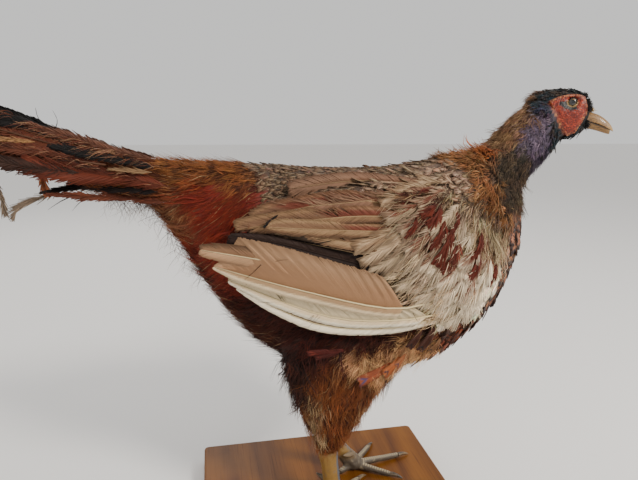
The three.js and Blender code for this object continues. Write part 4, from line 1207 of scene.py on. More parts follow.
def layStrands(coat, controls, width, inner, outer, rng, rows=7):  # loose single barbs through control points
    paths = finer(np.asarray(controls, float), rows)
    many = len(paths)
    facing = unit(np.cross(along(paths), rng.normal(0, 1, (many, 1, 3))))
    half = width * mm / 2 * np.interp(np.linspace(0, 1, rows), [0, 0.4, 1], [1, 0.8, 0.15])[None]
    half = np.broadcast_to(half, (many, rows))
    vane = vaneSpots(many, rows, rng.random(many))
    inner, outer = shade(inner, many, rng, 0.2), shade(outer, many, rng, 0.2)
    points = ribbons(paths, facing, half, half * 0.8)
    coat.add(points, vane, inner, outer, np.tile((2, 0.5, 0), (many, 1)), bakeSpots(paths[:, 0], vane))


# Outer flight feathers, lowest first: the shaft's places (x, z and how far out) from root to tip, how far
# the feather is tucked in, and the width and colours of its two webs.
cream, whitish = tint(222, 202, 170), tint(234, 225, 206)
dark, chestnut = tint(44, 28, 22), tint(102, 44, 31)
primaryLook = dict(pitch=1.3, angle=36, split=2.5, splits=5, fray=0.04, belly=0.55, narrow=0.75, droop=0.03,
                   quill=1.1, quillColor=tint(212, 196, 158), tuck=0)
primaryPlan = [
    # The first is a dark feather in the shaded gap below the tertials; its near-black webs are painted shade.
    dict(line=[(58, 246, 58), (0, 262, 59), (-50, 276, 54), (-88, 283, 48)], quillColor=dark,
         upper=(5, plain(dark, dark)), lower=(12, plain(tint(34, 19, 14), tint(40, 23, 17)))),
    dict(line=[(96, 205, 50), (40, 201, 59), (-22, 208, 56), (-84, 238, 45)], splits=3,
         upper=(7, plain(tint(120, 100, 80), tint(130, 110, 90))), lower=(6, plain(whitish, whitish))),
    dict(line=[(92, 209.5, 53), (50, 208.5, 62), (-12, 214.5, 59), (-90, 245, 46)], splits=10, fray=0.12,
         upper=(15, plain(tint(196, 182, 154), tint(178, 162, 134))), lower=(7, plain(cream, whitish)),
         start=0.1),
    dict(line=[(88, 223, 56), (40, 220, 65), (-35, 238.5, 60), (-101, 257.5, 47)], splits=3, split=0.6,
         upper=(31, plain(tint(170, 130, 99), tint(172, 136, 106), 0.02), {"point": 0.7}),
         lower=(8.5, plain(tint(170, 140, 108), cream)), flare=26, pitch=0.95, neat=0.1, ridge=0.04,
         narrow=0.9, start=0.2),
    dict(line=[(34, 240, 48), (8, 247, 56), (-50, 260.5, 58), (-111, 271.5, 48)], start=0.1, tuck=2.0,
         upper=(9.5, plain(tint(130, 98, 74), tint(104, 78, 58))),
         lower=(9, plain(tint(168, 134, 104), tint(160, 126, 98)))),
]
# Inner flight feathers and tertials, lowest first: places (x, z), how far out over the skin, the width of
# the two webs, their colours inside and at the edge, and how much chestnut they show.
tertialLook = dict(pitch=1.2, angle=34, neat=0.5, split=4, splits=8, fray=0.12, belly=0.72, narrow=0.55,
                   quill=0.45, rough=0.07, quillColor=tint(168, 144, 110), red=0.15)
tertialPlan = [
    # The first two, near-black and sunk low, are secondaries in the gap below the tertials; their tones are
    # painted shade.
    dict(line=[(66, 252), (0, 268), (-74, 283)], out=1.6, up=5, down=6, tones=((34, 19, 14), (29, 17, 13))),
    dict(line=[(50, 252), (0, 264), (-50, 275)], out=2.6, up=4, down=5, tones=((32, 18, 14), (27, 16, 12))),
    dict(line=[(68, 272), (14, 275), (-26, 281)], out=4.6, up=8, down=6,
         tones=((127, 99, 75), (142, 116, 88))),
    dict(line=[(70, 281), (6, 285), (-60, 288)], out=5.2, up=8, down=6.5, red=0.95,
         tones=((114, 85, 63), (142, 114, 85))),
    dict(line=[(72, 292), (4, 296), (-82, 289)], out=6.0, up=10, down=7, red=0.95,
         tones=((108, 79, 59), (127, 98, 72))),
    dict(line=[(75, 304), (6, 307), (-70, 296)], out=6.6, up=10, down=10, red=0.95,
         tones=((104, 75, 57), (124, 94, 70))),
    dict(line=[(78, 312), (10, 314), (-59, 305)], out=7.2, up=10, down=10,
         tones=((129, 99, 79), (120, 88, 70))),
    dict(line=[(-51, 297), (-57, 293.5), (-62, 291)], out=8.4, up=2, down=2, tones=((14, 10, 9), (14, 10, 9)),
         quillColor=dark * 0.3, angle=13, pitch=0.6),
    dict(line=[(82, 320), (18, 320), (-36, 317)], out=7.4, up=8, down=11,
         tones=((127, 96, 77), (114, 85, 68))),
]
# Rows of coverts from the flight feathers up: how far out, half width, and tips and roots (x, z).
covertLook = dict(pitch=1.0, angle=23, neat=1.6, split=6, splits=9, fray=0.3, narrow=0.8, droop=0.1,
                  quill=0.28, rough=0.25, rows=3)
covertTones = {  # at the back and at the front of a row
    "pale": (tint(166, 142, 116), tint(234, 218, 194)), "edge": (tint(144, 117, 92), tint(240, 226, 204)),
}
covertPlan = [
    dict(out=6.6, wide=10.0,
         tips=[(8, 272), (16, 263), (24, 253), (32, 243), (42, 235), (52, 227), (62, 218), (73, 211),
               (84, 205), (96, 200), (107, 199)],
         roots=[(58, 294), (63, 289), (68, 283), (73, 277), (78, 270), (84, 263), (90, 256), (96, 249),
                (103, 242), (110, 236), (118, 232)]),
    dict(out=8.0, wide=9.5,
         tips=[(30, 306), (38, 296), (45, 284), (53, 271), (61, 260), (69, 250), (78, 241), (88, 232),
               (98, 224), (109, 218)],
         roots=[(78, 319), (82, 311), (86, 303), (90, 294), (94, 286), (99, 278), (104, 270), (110, 262),
                (117, 255), (124, 250)]),
    dict(out=8.6, wide=8.5,
         tips=[(58, 311), (66, 300), (73, 288), (80, 276), (88, 264), (97, 253), (106, 243), (116, 235)],
         roots=[(94, 322), (99, 313), (104, 303), (109, 293), (114, 283), (119, 274), (126, 266),
                (132, 260)]),
]


def layWing(coat, side, rng):
    for row in primaryPlan:
        p = {**primaryLook, **row}
        shaft = smoothCurve([(x * mm, side * (y - p["tuck"]) * mm, z * mm) for x, z, y in p["line"]])
        coat.lay(shaft, outwardFace(shaft, side, -0.05), side, rng, **p)
    for row in tertialPlan:
        p = {**tertialLook, **row}
        spots = [(*jog(spot, rng, 1.6), p["out"]) for spot in p["line"]]
        light, edge = (tint(*tone) for tone in p["tones"])
        begin = rng.uniform(0.1, 0.3)
        upper = streaked(light, edge, chestnut, begin, begin + rng.uniform(0.4, 0.55), p["red"])
        webs = {"upper": (p["up"], upper), "lower": (p["down"], plain(edge, light))}
        layFeather(coat, skinTree, side, rng, spots, 0.12, **webs, **p)
    for p in covertPlan:
        for k, (root, tip) in enumerate(zip(p["roots"], p["tips"])):
            share = k / (len(p["tips"]) - 1)
            start, end = jog(root, rng, 1.8), jog(tip, rng, 3.0)
            between = (start[0] + end[0]) / 2, (start[1] + end[1]) / 2
            middle = (between[0] + 4, between[1] + 3 * (1 - share))
            spots = [(*start, p["out"] - 2.5), (*middle, p["out"]), (*end, p["out"] + 1)]
            pale, edge = (back * (1 - share) + front * share for back, front in covertTones.values())
            one = two = plain(pale, edge, 0.12)
            if rusty(np.array([[between[0], 0, between[1]]]) * mm)[0, 0] > 0.4:
                one = two = streaked(pale, edge, rust, 0.02, 0.9, 0.95)
            if rng.random() < 0.5:
                two = plain(edge, pale, 0.14)
            layFeather(coat, skinTree, side, rng, spots, 0.1, upper=(p["wide"], one), lower=(p["wide"], two),
                       quillColor=(pale + edge) * 0.55, **covertLook)


patchLook = dict(pitch=0.9, angle=19, neat=1.2, split=5, splits=8, fray=0.25, narrow=0.8, droop=0.1,
                 quill=0.22, rough=0.25, rows=3, quillColor=rust * 0.6)
patchPlan = [  # chestnut feathers among the coverts: root and tip (x, z), and half width
    ((84, 305), (69, 291), 6.5), ((78, 307), (63, 298), 5.5), ((92, 291), (75, 260), 7.5),
    ((85, 293), (69, 271), 6), ((95, 280), (80, 251), 6), ((98, 300), (88, 282), 3),
    ((121, 283), (108, 259), 4.4), ((117, 263), (104, 240), 4), ((58, 296), (49, 281), 3.5),
    ((136, 252), (128, 234), 3),
]


def layPatches(coat, side, rng):
    for root, tip, wide in patchPlan:
        middle = ((root[0] + tip[0]) / 2 + 2, (root[1] + tip[1]) / 2 + 1)
        spots = [(*jog(spot, rng, 0.8), out) for spot, out in ((root, 8), (middle, 10.6), (tip, 9.8))]
        web = (wide, plain(rust * 0.78, rust * 0.95, 0.2))
        layFeather(coat, skinTree, side, rng, spots, 0.1, upper=web, lower=web, **patchLook)


bristlePlan = [  # stray dark bristles over the flight feathers: x and z of root and end
    (-94, 283, -80, 286), (-56, 262, -44, 264), (-66, 260, -80, 247), (-12, 233, -5, 219), (37, 223, 43, 211),
    (-30, 250, -38, 262), (10, 236, 2, 244), (-50, 230, -56, 240), (22, 212, 30, 205), (60, 214, 66, 205),
    (-2, 208, -6, 197),
]


def layBristles(coat, side, rng):
    controls = []
    for x0, z0, x1, z1 in bristlePlan:
        a, b = sideSpot(flightTree, side, x0, z0, 1.5), sideSpot(flightTree, side, x1, z1, 3.0)
        controls.append([a, (a + b) / 2 + rng.normal(0, 0.8, 3) * mm, b])
    layStrands(coat, controls, 0.5, dark * 0.6, dark * 0.6, rng)


flight = plumage("flight feathers", 0.66, 0.2, grain=150)
flightTree = treeOf(["primaries_right", "primaries_left", "wing_right", "wing_left"])
for name, side in sides.items():
    feathers = LongFeathers("flight_feathers_" + name)
    layWing(feathers, side, np.random.default_rng(40 + side))
    layPatches(feathers, side, np.random.default_rng(48 + side))
    layBristles(feathers, side, np.random.default_rng(44 + side))
    ship(feathers.build(flight), "quills", "primaries_" + name)


# The tail's feathers follow the frame's own blades.
tailPlan = {"bar": 19, "barWide": 4.5, "wide": 14, "drift": 0.16, "blackTill": 90}
tailLook = dict(pitch=1.6, angle=34, neat=1.2, split=5, fray=0.2, belly=0.3, narrow=0.8, tip=0.3, quill=1.0,
                quillColor=tint(84, 54, 38), rough=0.1)
rufous, buff, black, grey = tint(94, 43, 26), tint(156, 122, 84), tint(13, 9, 9), tint(132, 116, 102)


def bladeLine(node):  # middle line of a blade from root to tip
    points = pointsOf(nodes[node])
    order = points[np.argsort(-points[:, 0])]
    middles = [part.mean(0) for part in np.array_split(order, 9)]
    root = order[order[:, 0] > order[:, 0].max() - 4 * mm].mean(0)
    tip = order[order[:, 0] < order[:, 0].min() + 2 * mm].mean(0)
    return smoothCurve([root, *middles[1:-1], tip], 26)


def barred(blackTill):  # black or rufous at the root, then buff with dark bars
    def colors(at, run, rng):
        p = tailPlan
        phase = ((run + rng.normal(0, 0.7, len(run))) % p["bar"]) / p["bar"]
        share = p["barWide"] / p["bar"]
        strength = np.interp(run, [0, 90, 170], [0.15, 0.4, 0.92])
        bar = (blendOf(0.0, 0.06, phase) * blendOf(share + 0.08, share, phase) * strength)[:, None]
        drift = np.exp(np.interp(at, np.linspace(0, 1, 12), rng.normal(0, p["drift"], 12)))[:, None]
        faded = np.interp(run, [60, 200], [0.05, 0.6])[:, None]
        ground, edge = (rufous + (buff - rufous) * faded) * drift, rufous * drift
        root = blendOf(blackTill + 50, blackTill, run)[:, None] if blackTill else 0
        ground, edge = ground + (black * 1.3 - ground) * root, edge + (black * 1.6 - edge) * root
        return ground + (black - ground) * bar, edge + (black - edge) * (bar * 0.35)
    return colors


def layTail(coat, rng):
    p = tailPlan
    for name, side in sides.items():
        fold, narrow = (60, 0.2) if side < 0 else (38, 0.45)
        for pair in (5, 4, 3, 2, 1):
            shaft = bladeLine(f"tail_feather_{name}_{pair}")
            run = runOf(shaft) / mm
            slope = np.radians(np.interp(run, [120, 230], [fold, 15 + 8 * pair]))  # folded at the root
            face = np.c_[0 * slope, side * np.sin(slope), np.cos(slope)]
            face = square(face, unit(np.gradient(shaft, axis=0)))
            upper = barred(p["blackTill"] if pair < 3 else 0)
            coat.lay(shaft, face, side, rng, (p["wide"], upper, {"narrow": narrow, "belly": 0.7, "late": 3}),
                     (p["wide"], barred(0)), splits=int(run[-1] / 22), **tailLook)


# Worn and broken feathers at the root of the tail: places (x, z), how far out, width, colour and fraying.
wornLook = dict(pitch=0.9, rows=3, angle=30, neat=3, split=5, splits=8, quill=0.4, rough=0.3)
wornPlan = [
    # The first is a black strip along the dark gap at the root of the tail, painted shade.
    dict(line=[(-147, 334.5), (-168, 340), (-194, 346), (-220, 352)], out=4.2, wide=5, tone=black, fray=0.15),
    dict(line=[(-234, 369.5), (-247, 370.5), (-262, 373), (-286, 379), (-312, 387)], out=2.5, wide=8.5,
         tone=black, fray=0.06, neat=1),
    dict(line=[(-146, 340.5), (-180, 349), (-202, 356.5), (-218, 361.5), (-240, 369)], out=3.6, wide=4.5,
         tone=tint(98, 62, 48), fray=0.35),
    dict(line=[(-136, 320), (-172, 327.5), (-205, 333.5), (-236, 340)], out=3.6, wide=11,
         tone=tint(88, 36, 19), fray=0.1, neat=1.2),
    dict(line=[(-148, 331), (-163, 332.5), (-179, 334)], out=5.4, wide=4, tone=tint(138, 110, 82), fray=1,
         angle=13),
    dict(line=[(-230, 355), (-246, 357), (-262, 358)], out=4.5, wide=3.6, tone=tint(152, 113, 74), fray=0.6,
         angle=16),
    dict(line=[(-200, 332), (-232, 337), (-264, 345)], out=3.8, wide=7, tone=tint(50, 28, 20), fray=0.35),
    dict(line=[(-204, 344), (-232, 349), (-264, 352)], out=4.2, wide=5, tone=tint(88, 46, 30), fray=0.5,
         angle=20),
    dict(line=[(-144, 315.5), (-180, 317.5), (-205, 319.5), (-226, 318)], out=1.6, wide=5,
         tone=tint(26, 16, 14), fray=0.15, angle=20),
    dict(line=[(-138, 307), (-172, 310.5), (-200, 314.5), (-222, 317)], out=2.2, wide=5,
         tone=tint(92, 46, 30), fray=0.3, angle=18),
]
brokenPlan = [  # broken ends that hang free on the right: x, z and distance from the middle
    dict(line=[(-218, 317, 20), (-232, 312.5, 23), (-245, 307, 25), (-251, 298, 26)], wide=7, tone=grey,
         fray=1, angle=9),
    dict(line=[(-262, 325, 20), (-259, 318, 24), (-257, 309, 26), (-256, 301, 27)], wide=5, tone=grey * 0.7,
         fray=1, angle=9),
    dict(line=[(-229, 334, 20), (-228, 325, 23), (-226, 315, 24)], wide=4.2, tone=tint(140, 82, 52), fray=0,
         neat=0.5, belly=0.12),
]


def layWorn(coat, side, rng):
    for row in wornPlan + (brokenPlan if side < 0 else []):
        p = {**wornLook, **row, "quillColor": row["tone"] * 0.8}
        web = (p["wide"], plain(p["tone"], p["tone"] * 1.15, 0.16))
        if "out" in p:
            spots = [(*spot, p["out"]) for spot in p["line"]]
            layFeather(coat, tailTree, side, rng, spots, 0.45, upper=web, lower=web, **p)
        else:
            shaft = smoothCurve([np.array((x, side * y, z)) * mm for x, z, y in p["line"]])
            coat.lay(shaft, outwardFace(shaft, side, 0.45), side, rng, web, web, **p)


curlPlan = {  # loose curled barbs drape from the ridge down over the dark gap
    "many": 240, "x": (-262, -140), "ridgeX": [140, 187, 227, 262], "ridge": [337, 352, 366, 382],
    "long": (8, 24), "drop": (0.15, 0.8), "wide": 0.45,
}
curlTones = tint(158, 118, 92), tint(40, 24, 19), tint(104, 55, 38)
spikePlan = [  # stiff dark ends that stand out from the ridge and the gap
    [(-223, 366), (-226, 372), (-228.5, 380)], [(-205, 315), (-214, 311), (-223, 305)],
    [(-197, 313), (-203, 308), (-207, 303)], [(-190, 322), (-199, 318), (-207, 316)],
]


def layCurls(coat, side, rng):
    p = curlPlan
    controls = []
    for _ in range(p["many"]):
        x = rng.uniform(*p["x"])
        top = np.interp(-x, p["ridgeX"], p["ridge"]) - rng.choice([0, 0, 15])
        long = rng.uniform(*p["long"])
        drop = rng.uniform(*p["drop"])
        a = sideSpot(tailTree, side, x, top - rng.uniform(0.5, 5), 0.5)
        end = (x - long * (1 - drop * 0.45), top - 2 - long * drop * 0.8 + long * 0.25)
        b = sideSpot(tailTree, side, *end, rng.uniform(2, 7))
        bow = (rng.uniform(-0.1, 0.25) * long, side * rng.uniform(2, 5), rng.uniform(0.0, 0.22) * long)
        controls.append([a, a * 0.6 + b * 0.4 + np.array(bow) * mm, b])
    draw = rng.random((len(controls), 1))
    pale, darkest, brown = curlTones
    tones = np.where(draw < 0.3, pale, np.where(draw < 0.5, darkest, brown))
    layStrands(coat, controls, p["wide"], tones, tones * 1.15, rng, 8)
    controls = [[sideSpot(tailTree, side, *spot, 1.5) for spot in line] for line in spikePlan]
    layStrands(coat, controls, 1.3, black * 1.5, black * 1.5, rng)


wispPlan = {  # a loose web of fine dark hairs hangs under the root of the tail
    "many": 130, "x": (-186, -101), "wide": 0.32,
    "underX": [101, 110, 118, 131, 143, 152, 186], "under": [229, 242, 252, 261, 284, 300, 309],
}


def layWisps(coat, side, rng):
    p = wispPlan
    controls = []
    for _ in range(p["many"]):
        x = rng.uniform(*p["x"])
        base = np.interp(-x, p["underX"], p["under"])
        a = sideSpot(tailTree, side, x, base + rng.uniform(0, 8), -3)
        a[1] *= rng.random()
        end = a + np.array((rng.uniform(-16, 14), rng.uniform(-5, 5), rng.uniform(-22, -5))) * mm
        controls.append([a, (a + end) / 2 + rng.normal(0, 3.4, 3) * mm, end])
    layStrands(coat, controls, p["wide"], tint(60, 48, 42), tint(120, 100, 84), rng, 8)


tailTree = treeOf(["trunk", "tail_coverts"] + [n for n in nodes if n.startswith("tail_feather")])
tail, worn = LongFeathers("tail_feathers"), LongFeathers("worn_tail_feathers")
layTail(tail, np.random.default_rng(60))
ship(tail.build(flight), "tail_plumage", *[f"tail_feather_{s}_{k}" for s in sides for k in range(1, 6)])
for side in sides.values():
    for laying, seed in ((layWorn, 70), (layCurls, 75), (layWisps, 78)):
        laying(worn, side, np.random.default_rng(seed + side))
ship(worn.build(flight), "tail_plumage")


# Tufts that stand apart, in the head's own frame: place, spread, way, length, how many, and colours.
tuftPlan = {
    "forelock": dict(at=(12.0, 5.6, 7.2), spread=(2.0, 4.6, 2.0), way=(0.6, 0, 0.3), long=3.0, many=240,
                     inner=(12, 11, 12), outer=(24, 22, 23)),
    "brow": dict(at=(14.6, 6.8, 1.4), spread=(2.4, 4.6, 3.8), way=(0.7, 0.1, -0.2), long=3.0, many=330,
                 inner=(12, 11, 12), outer=(26, 24, 24)),
    "lore": dict(at=(16.6, 6.2, -4), spread=(1.7, 4.0, 2.8), way=(0.6, 0, -0.5), long=2.8, many=220,
                 inner=(12, 11, 12), outer=(28, 25, 25)),
    "cere": dict(at=(20.2, 2, -5.2), spread=(1.2, 1.8, 1.6), way=(0.7, 0, -0.5), long=3.2, many=90,
                 inner=(140, 116, 84), outer=(216, 194, 154)),
    "chin": dict(at=(13.4, 5.6, -18.6), spread=(3.2, 2.4, 3.2), way=(0.6, 0.15, -0.6), long=4.0, many=220,
                 inner=(14, 13, 14), outer=(26, 24, 25)),
}


def layTufts(coat, rng):
    for p in tuftPlan.values():
        many = p["many"]
        mirror = np.c_[np.ones(many), rng.choice([-1, 1], many), np.ones(many)]
        spots = (np.array(p["at"]) + rng.normal(0, 0.5, (many, 3)) * p["spread"]) * mirror
        start, normals = onSkin(fromHead(spots))
        way = (np.array(p["way"]) * mirror) @ headTurn.T + normals * 0.5 + rng.normal(0, 0.35, (many, 3))
        way = unit(way)
        long = p["long"] * mm * vary(rng, 0.2, (many, 1))
        middle = start + way * long * 0.5
        end = middle + unit(way + rng.normal(0, 0.45, (many, 3))) * long * 0.5
        controls = np.stack([start - normals * 0.4 * mm, middle, end], 1)
        layStrands(coat, controls, 0.55, tint(*p["inner"]), tint(*p["outer"]), rng, 5)


brightLook = dict(pitch=0.7, neat=0.8, split=3, splits=4, quill=0.25, belly=0.7, tip=0.4)
brightPlan = [  # root and tip (x, z), half width, and the colours of the feather and its end
    (((50, 162), (17, 153.5)), 6.2, (146, 74, 44), (44, 66, 116)),
    (((58, 166), (40, 157)), 5.4, (158, 88, 46), (28, 30, 52)),
    (((64, 168), (52, 162)), 4.2, (152, 92, 56), (40, 42, 74)),
    (((86, 196), (73, 175)), 4.4, (66, 33, 20), (13, 10, 10)),
    (((74, 196), (62, 180)), 4, (66, 31, 19), (13, 10, 10)),
    (((96, 182), (84, 171)), 3, (120, 84, 56), (36, 26, 22)),
    (((4, 181), (-27, 181)), 3.4, (78, 24, 17), (112, 44, 33)),
    (((-2, 178), (-20, 177)), 2.4, (70, 22, 16), (104, 40, 30)),
]


def layBellyFeathers(coat, side, rng):  # a few bright feathers with dark ends among the down
    for ((x0, z0), (x1, z1)), wide, tone, endTone in brightPlan:
        spots = [(x0, z0, 3), ((x0 + x1) / 2, (z0 + z1) / 2 + 1, 8), (x1, z1, 9)]
        tone = tint(*tone)
        web = (wide, streaked(tone, tone * 0.9, tint(*endTone), 0.76, 0.94, 1.0))
        look = {**brightLook, "quillColor": tone}
        layFeather(coat, skinTree, side, rng, spots, -0.2, upper=web, lower=web, **look)


tufts = LongFeathers("loose_tufts")
layTufts(tufts, np.random.default_rng(80))
for side in sides.values():
    layBellyFeathers(tufts, side, np.random.default_rng(84 + side))
ship(tufts.build(flight), "body_plumage")


# The skin's colours, one for each point of its surface.
skinTones = {
    # The dark red below is painted shade in the face's furrows, and also its mottle.
    "crimson": tint(154, 51, 25), "furrowShadeAndMottle": tint(92, 29, 21), "rim": tint(176, 122, 72),
    "lid": tint(168, 136, 84), "ash": tint(28, 25, 27), "cere": tint(104, 88, 86),
    "scale": tint(132, 100, 50), "slate": tint(84, 88, 96),
    "toe": tint(82, 72, 61), "toePale": tint(178, 160, 128),
}


def paintSkin():
    t = skinTones
    world = pointsOf(skin)
    outwards = normalsOf(skin)
    inner, outer = areaColors(areaWeights(world))
    tone = 0.5 * inner + 0.2 * outer

    def blend(color, amount):
        tone[:] += (color - tone) * np.clip(amount, 0, 1)[:, None]

    spots = toHead(world)
    inHead = blendOf(36, 32, np.linalg.norm(spots - headPlan["middle"], axis=1))
    x, z, side = spots[:, 0], spots[:, 2], np.sign(spots[:, 1])
    flank = blendOf(4, 6.5, np.abs(spots[:, 1])) * inHead
    depth = insideOutline(spots[:, [0, 2]], facePlan["outline"])
    near = (flank > 0.01) & (depth > -2)
    grains, patchy = np.zeros(len(world)), np.zeros(len(world))
    grains[near] = warts(np.c_[spots[near][:, [0, 2]], side[near]], facePlan["wartSize"])
    patchy[near] = roughField(spots[near], 3.6, 5)
    patch = flank * blendOf(-0.7, 0.5, depth)
    # The patch starts dark red, which stays in the furrows between the warts as painted shade; the warts'
    # tops turn crimson.
    blend(t["furrowShadeAndMottle"], patch)
    blend(t["crimson"] * 1.15, patch * blendOf(0.1, 0.6, grains + patchy * 0.25))
    edge = blendOf(2.6, 0.6, depth + patchy * 0.8) + blendOf(0.3, 0.8, patchy) * 0.5
    blend(t["rim"], patch * edge * 0.9 * blendOf(0.15, 0.6, grains))
    # Darker red in random patches: the skin's own mottle.
    blend(t["furrowShadeAndMottle"], patch * blendOf(-0.1, -0.6, patchy) * 0.6)
    lengthwise = ((x + 3.5) * 0.94 - (z + 3) * 0.33) / 8  # the ash-grey patch round the eye, aslant
    across = ((x + 3.5) * 0.33 + (z + 3) * 0.94) / 3.1
    blend(t["ash"], patch * blendOf(1.15, 0.85, np.hypot(lengthwise, across) + patchy * 0.2))
    around = eyeAround(x, z)
    blend(t["lid"], flank * blendOf(1.56, 1.38, around + patchy * 0.08) * (0.75 + 0.25 * grains))
    blend(t["ash"] * 0.4, flank * blendOf(1.04, 0.94, around))
    blend(t["cere"], inHead * blendOf(16, 18.5, x) * blendOf(-2, -5, z))
    blend(t["ash"] * 0.7, inHead * blendOf(12, 14, x) * blendOf(-12, -15, z))
    shank = blendOf(80, 68, world[:, 2] / mm)
    blend(t["scale"], shank)
    blotch = np.zeros(len(world))
    low = world[:, 2] < 82 * mm
    blotch[low] = roughField(world[low], 4 * mm, 8)
    slate = blendOf(0.48, 0.8, outwards[:, 0]) + blendOf(0.3, 0.7, blotch) * 0.3
    blend(t["slate"], shank * np.clip(slate, 0, 1))
    foot = blendOf(44, 30, world[:, 2] / mm)
    blend(t["toe"], foot)
    reach = np.min([np.linalg.norm(world[:, :2] / mm - footCentre(s), axis=1) for s in sides], axis=0)
    ring = (reach / legPlan["toeStep"]) % 1
    plate = blendOf(0.1, 0.35, ring) * blendOf(0.95, 0.75, ring)
    blend(t["toePale"], foot * plate * blendOf(0.6, 0.92, outwards[:, 2]) * 0.85)
    blend(t["toePale"] * 0.8, foot * blendOf(0.3, 0.7, blotch) * 0.45)
    paint(skin, "tone", "FLOAT_COLOR", np.c_[tone, np.ones(len(tone))])
    paint(skin, "bare", "FLOAT", np.clip(patch + shank, 0, 1))


def skinFinish():
    finish = Finish("skin", Specular_IOR_Level=0.4)
    place = finish.objectPlace()
    fine = finish.noise(place, 900, 4, 0.6)
    broad = finish.noise(place, 160, 3, 0.55)
    value = 0.72 + fine * 0.3 + broad * 0.28
    color = finish.mix(1.0, finish.attribute("tone"), finish.join(value, value, value), "MULTIPLY")
    finish.surface(Base_Color=color, Roughness=0.72 - finish.attribute("bare", 2) * 0.2 - fine * 0.08)
    finish.bump(fine * 0.6 + broad, 0.5, 0.0005)
    return finish


paintSkin()
dress(skin, skinFinish())
fleshy = ["trunk", "neck", "head", "tail_coverts"]
fleshy += [part + s for part in ("wing_", "thigh_", "face_", "tarsus_", "foot_") for s in sides]
ship(skin, "face_skin", *fleshy)


# Glass eyes: dark pupil and an olive iris under one clear, very smooth surface.
eyePlan = {
    "pupil": 2.1, "iris": 3.1, "irisTone": tint(66, 54, 30), "rimTone": tint(30, 26, 16),
    "pupilTone": (0.003, 0.003, 0.004),
}


def eyeFinish():
    p = eyePlan
    finish = Finish("eye glass", Roughness=0.04, Coat_Weight=0.6, Coat_Roughness=0.02, IOR=1.5)
    reach = finish.attribute("reach", 2) / mm
    streaks = finish.noise(finish.attribute("turn", 1), 6, 3, 0.6)
    iris = finish.mix(finish.step(reach, p["pupil"], p["iris"]), p["irisTone"] * 1.25, p["irisTone"] * 0.5)
    iris = finish.mix(streaks * 0.5, iris, p["rimTone"])
    iris = finish.mix(finish.step(reach, p["pupil"] + 0.25, p["pupil"]), iris, p["pupilTone"])
    color = finish.mix(finish.step(reach, p["iris"], p["iris"] + 0.4), iris, p["rimTone"] * 0.3)
    finish.surface(Base_Color=color)
    return finish


glassFinish = eyeFinish()
for name, side in sides.items():
    radius = facePlan["ballRadius"] * mm
    bpy.ops.object.select_all(action="DESELECT")
    bpy.ops.mesh.primitive_uv_sphere_add(segments=48, ring_count=24, radius=radius)
    ball = bpy.context.object
    ball.name = "glass_eye_" + name
    local = pointsOf(ball)
    reach = np.hypot(local[:, 0], local[:, 2])
    around = np.arctan2(local[:, 2], local[:, 0])
    middle = np.array([0, side * facePlan["ballSide"], 0])
    setPoints(ball, fromHead(local / mm + middle))
    paint(ball, "reach", "FLOAT", reach)
    paint(ball, "turn", "FLOAT_VECTOR", np.c_[np.cos(around), np.sin(around), reach * 60])
    shadeSmooth(ball)
    dress(ball, glassFinish)
    ship(ball, "eye_glass", "eye_" + name)


# Horny parts: the bill's two halves, the claws and the spurs.
hornPlan = {
    "billFrom": 23.0, "billStretch": 2.7, "billRise": 0.16,  # the bill runs back under the skin of the face
    "billSwell": 0.12, "clawSwell": 0.25, "edge": 0.25,
    "billDark": tint(84, 56, 27), "billPale": tint(164, 121, 63), "billRoot": tint(92, 74, 64),
    # the gape colour below is painted shade along the line between the two halves
    "mouth": tint(34, 26, 22), "billTip": tint(186, 152, 98),
    "clawDark": tint(48, 40, 34), "clawPale": tint(122, 102, 76),
}


def hornShape(name, node, swell):
    p = hornPlan
    thing = copyNode(node, 0)
    thing.name = name
    if node.startswith("bill"):
        spots = toHead(pointsOf(thing))
        back = np.maximum(p["billFrom"] - spots[:, 0], 0)
        spots[:, 0] -= back * (p["billStretch"] - 1)
        spots[:, 2] += back * p["billRise"]
        setPoints(thing, fromHead(spots))
    crease = thing.modifiers.new("bevel", "BEVEL")
    crease.width = p["edge"] * mm
    crease.limit_method = "ANGLE"
    crease.angle_limit = math.radians(50)
    smooth = thing.modifiers.new("round", "SUBSURF")
    smooth.levels = 2
    applyAll(thing)
    setPoints(thing, pointsOf(thing) + normalsOf(thing) * swell * mm)
    shadeSmooth(thing)
    return thing


def billFinish():
    p = hornPlan
    finish = Finish("bill horn", Roughness=0.42, Coat_Weight=0.12)
    inputs = {"Vector": finish.objectPlace(), "Location": headPlan["place"], "Rotation": (0, 0, headTurnZ),
              "Scale": (mm, mm, mm)}
    spot = finish.node("ShaderNodeMapping", {"vector_type": "TEXTURE"}, inputs)
    x, y, z = finish.split(spot)
    grain = finish.noise(finish.join(x * 0.25, y * 1.6, z * 1.6), 1.0, 4, 0.65)
    mottle = finish.noise(spot, 0.35, 3, 0.5)
    color = finish.mix(finish.step(grain, 0.3, 0.75), p["billDark"], p["billPale"])
    color = finish.mix(finish.step(x + mottle * 8, 23, 16), color, p["billRoot"])
    # The line where the two halves meet is darkened: painted shade in the gape.
    mouth = z + 14.5 + (x - 12) * 0.42
    color = finish.mix(finish.step(mouth.combine("ABSOLUTE"), 0.9, 0.25) * 0.85, color, p["mouth"])
    color = finish.mix(finish.step(x, 31, 38) * 0.5, color, p["billTip"])
    finish.surface(Base_Color=color, Roughness=0.38 + grain * 0.2)
    finish.bump(grain + mottle, 0.35, 0.0003)
    return finish


def clawFinish():
    finish = Finish("claw horn", Roughness=0.38)
    place = finish.objectPlace()
    grain = finish.noise(place, 700, 4, 0.6)
    blotch = finish.noise(place, 90, 3, 0.5)
    pale = finish.step(blotch + grain * 0.3, 0.45, 0.8)
    finish.surface(Base_Color=finish.mix(pale, hornPlan["clawDark"], hornPlan["clawPale"]))
    finish.bump(grain, 0.3, 0.0002)
    return finish


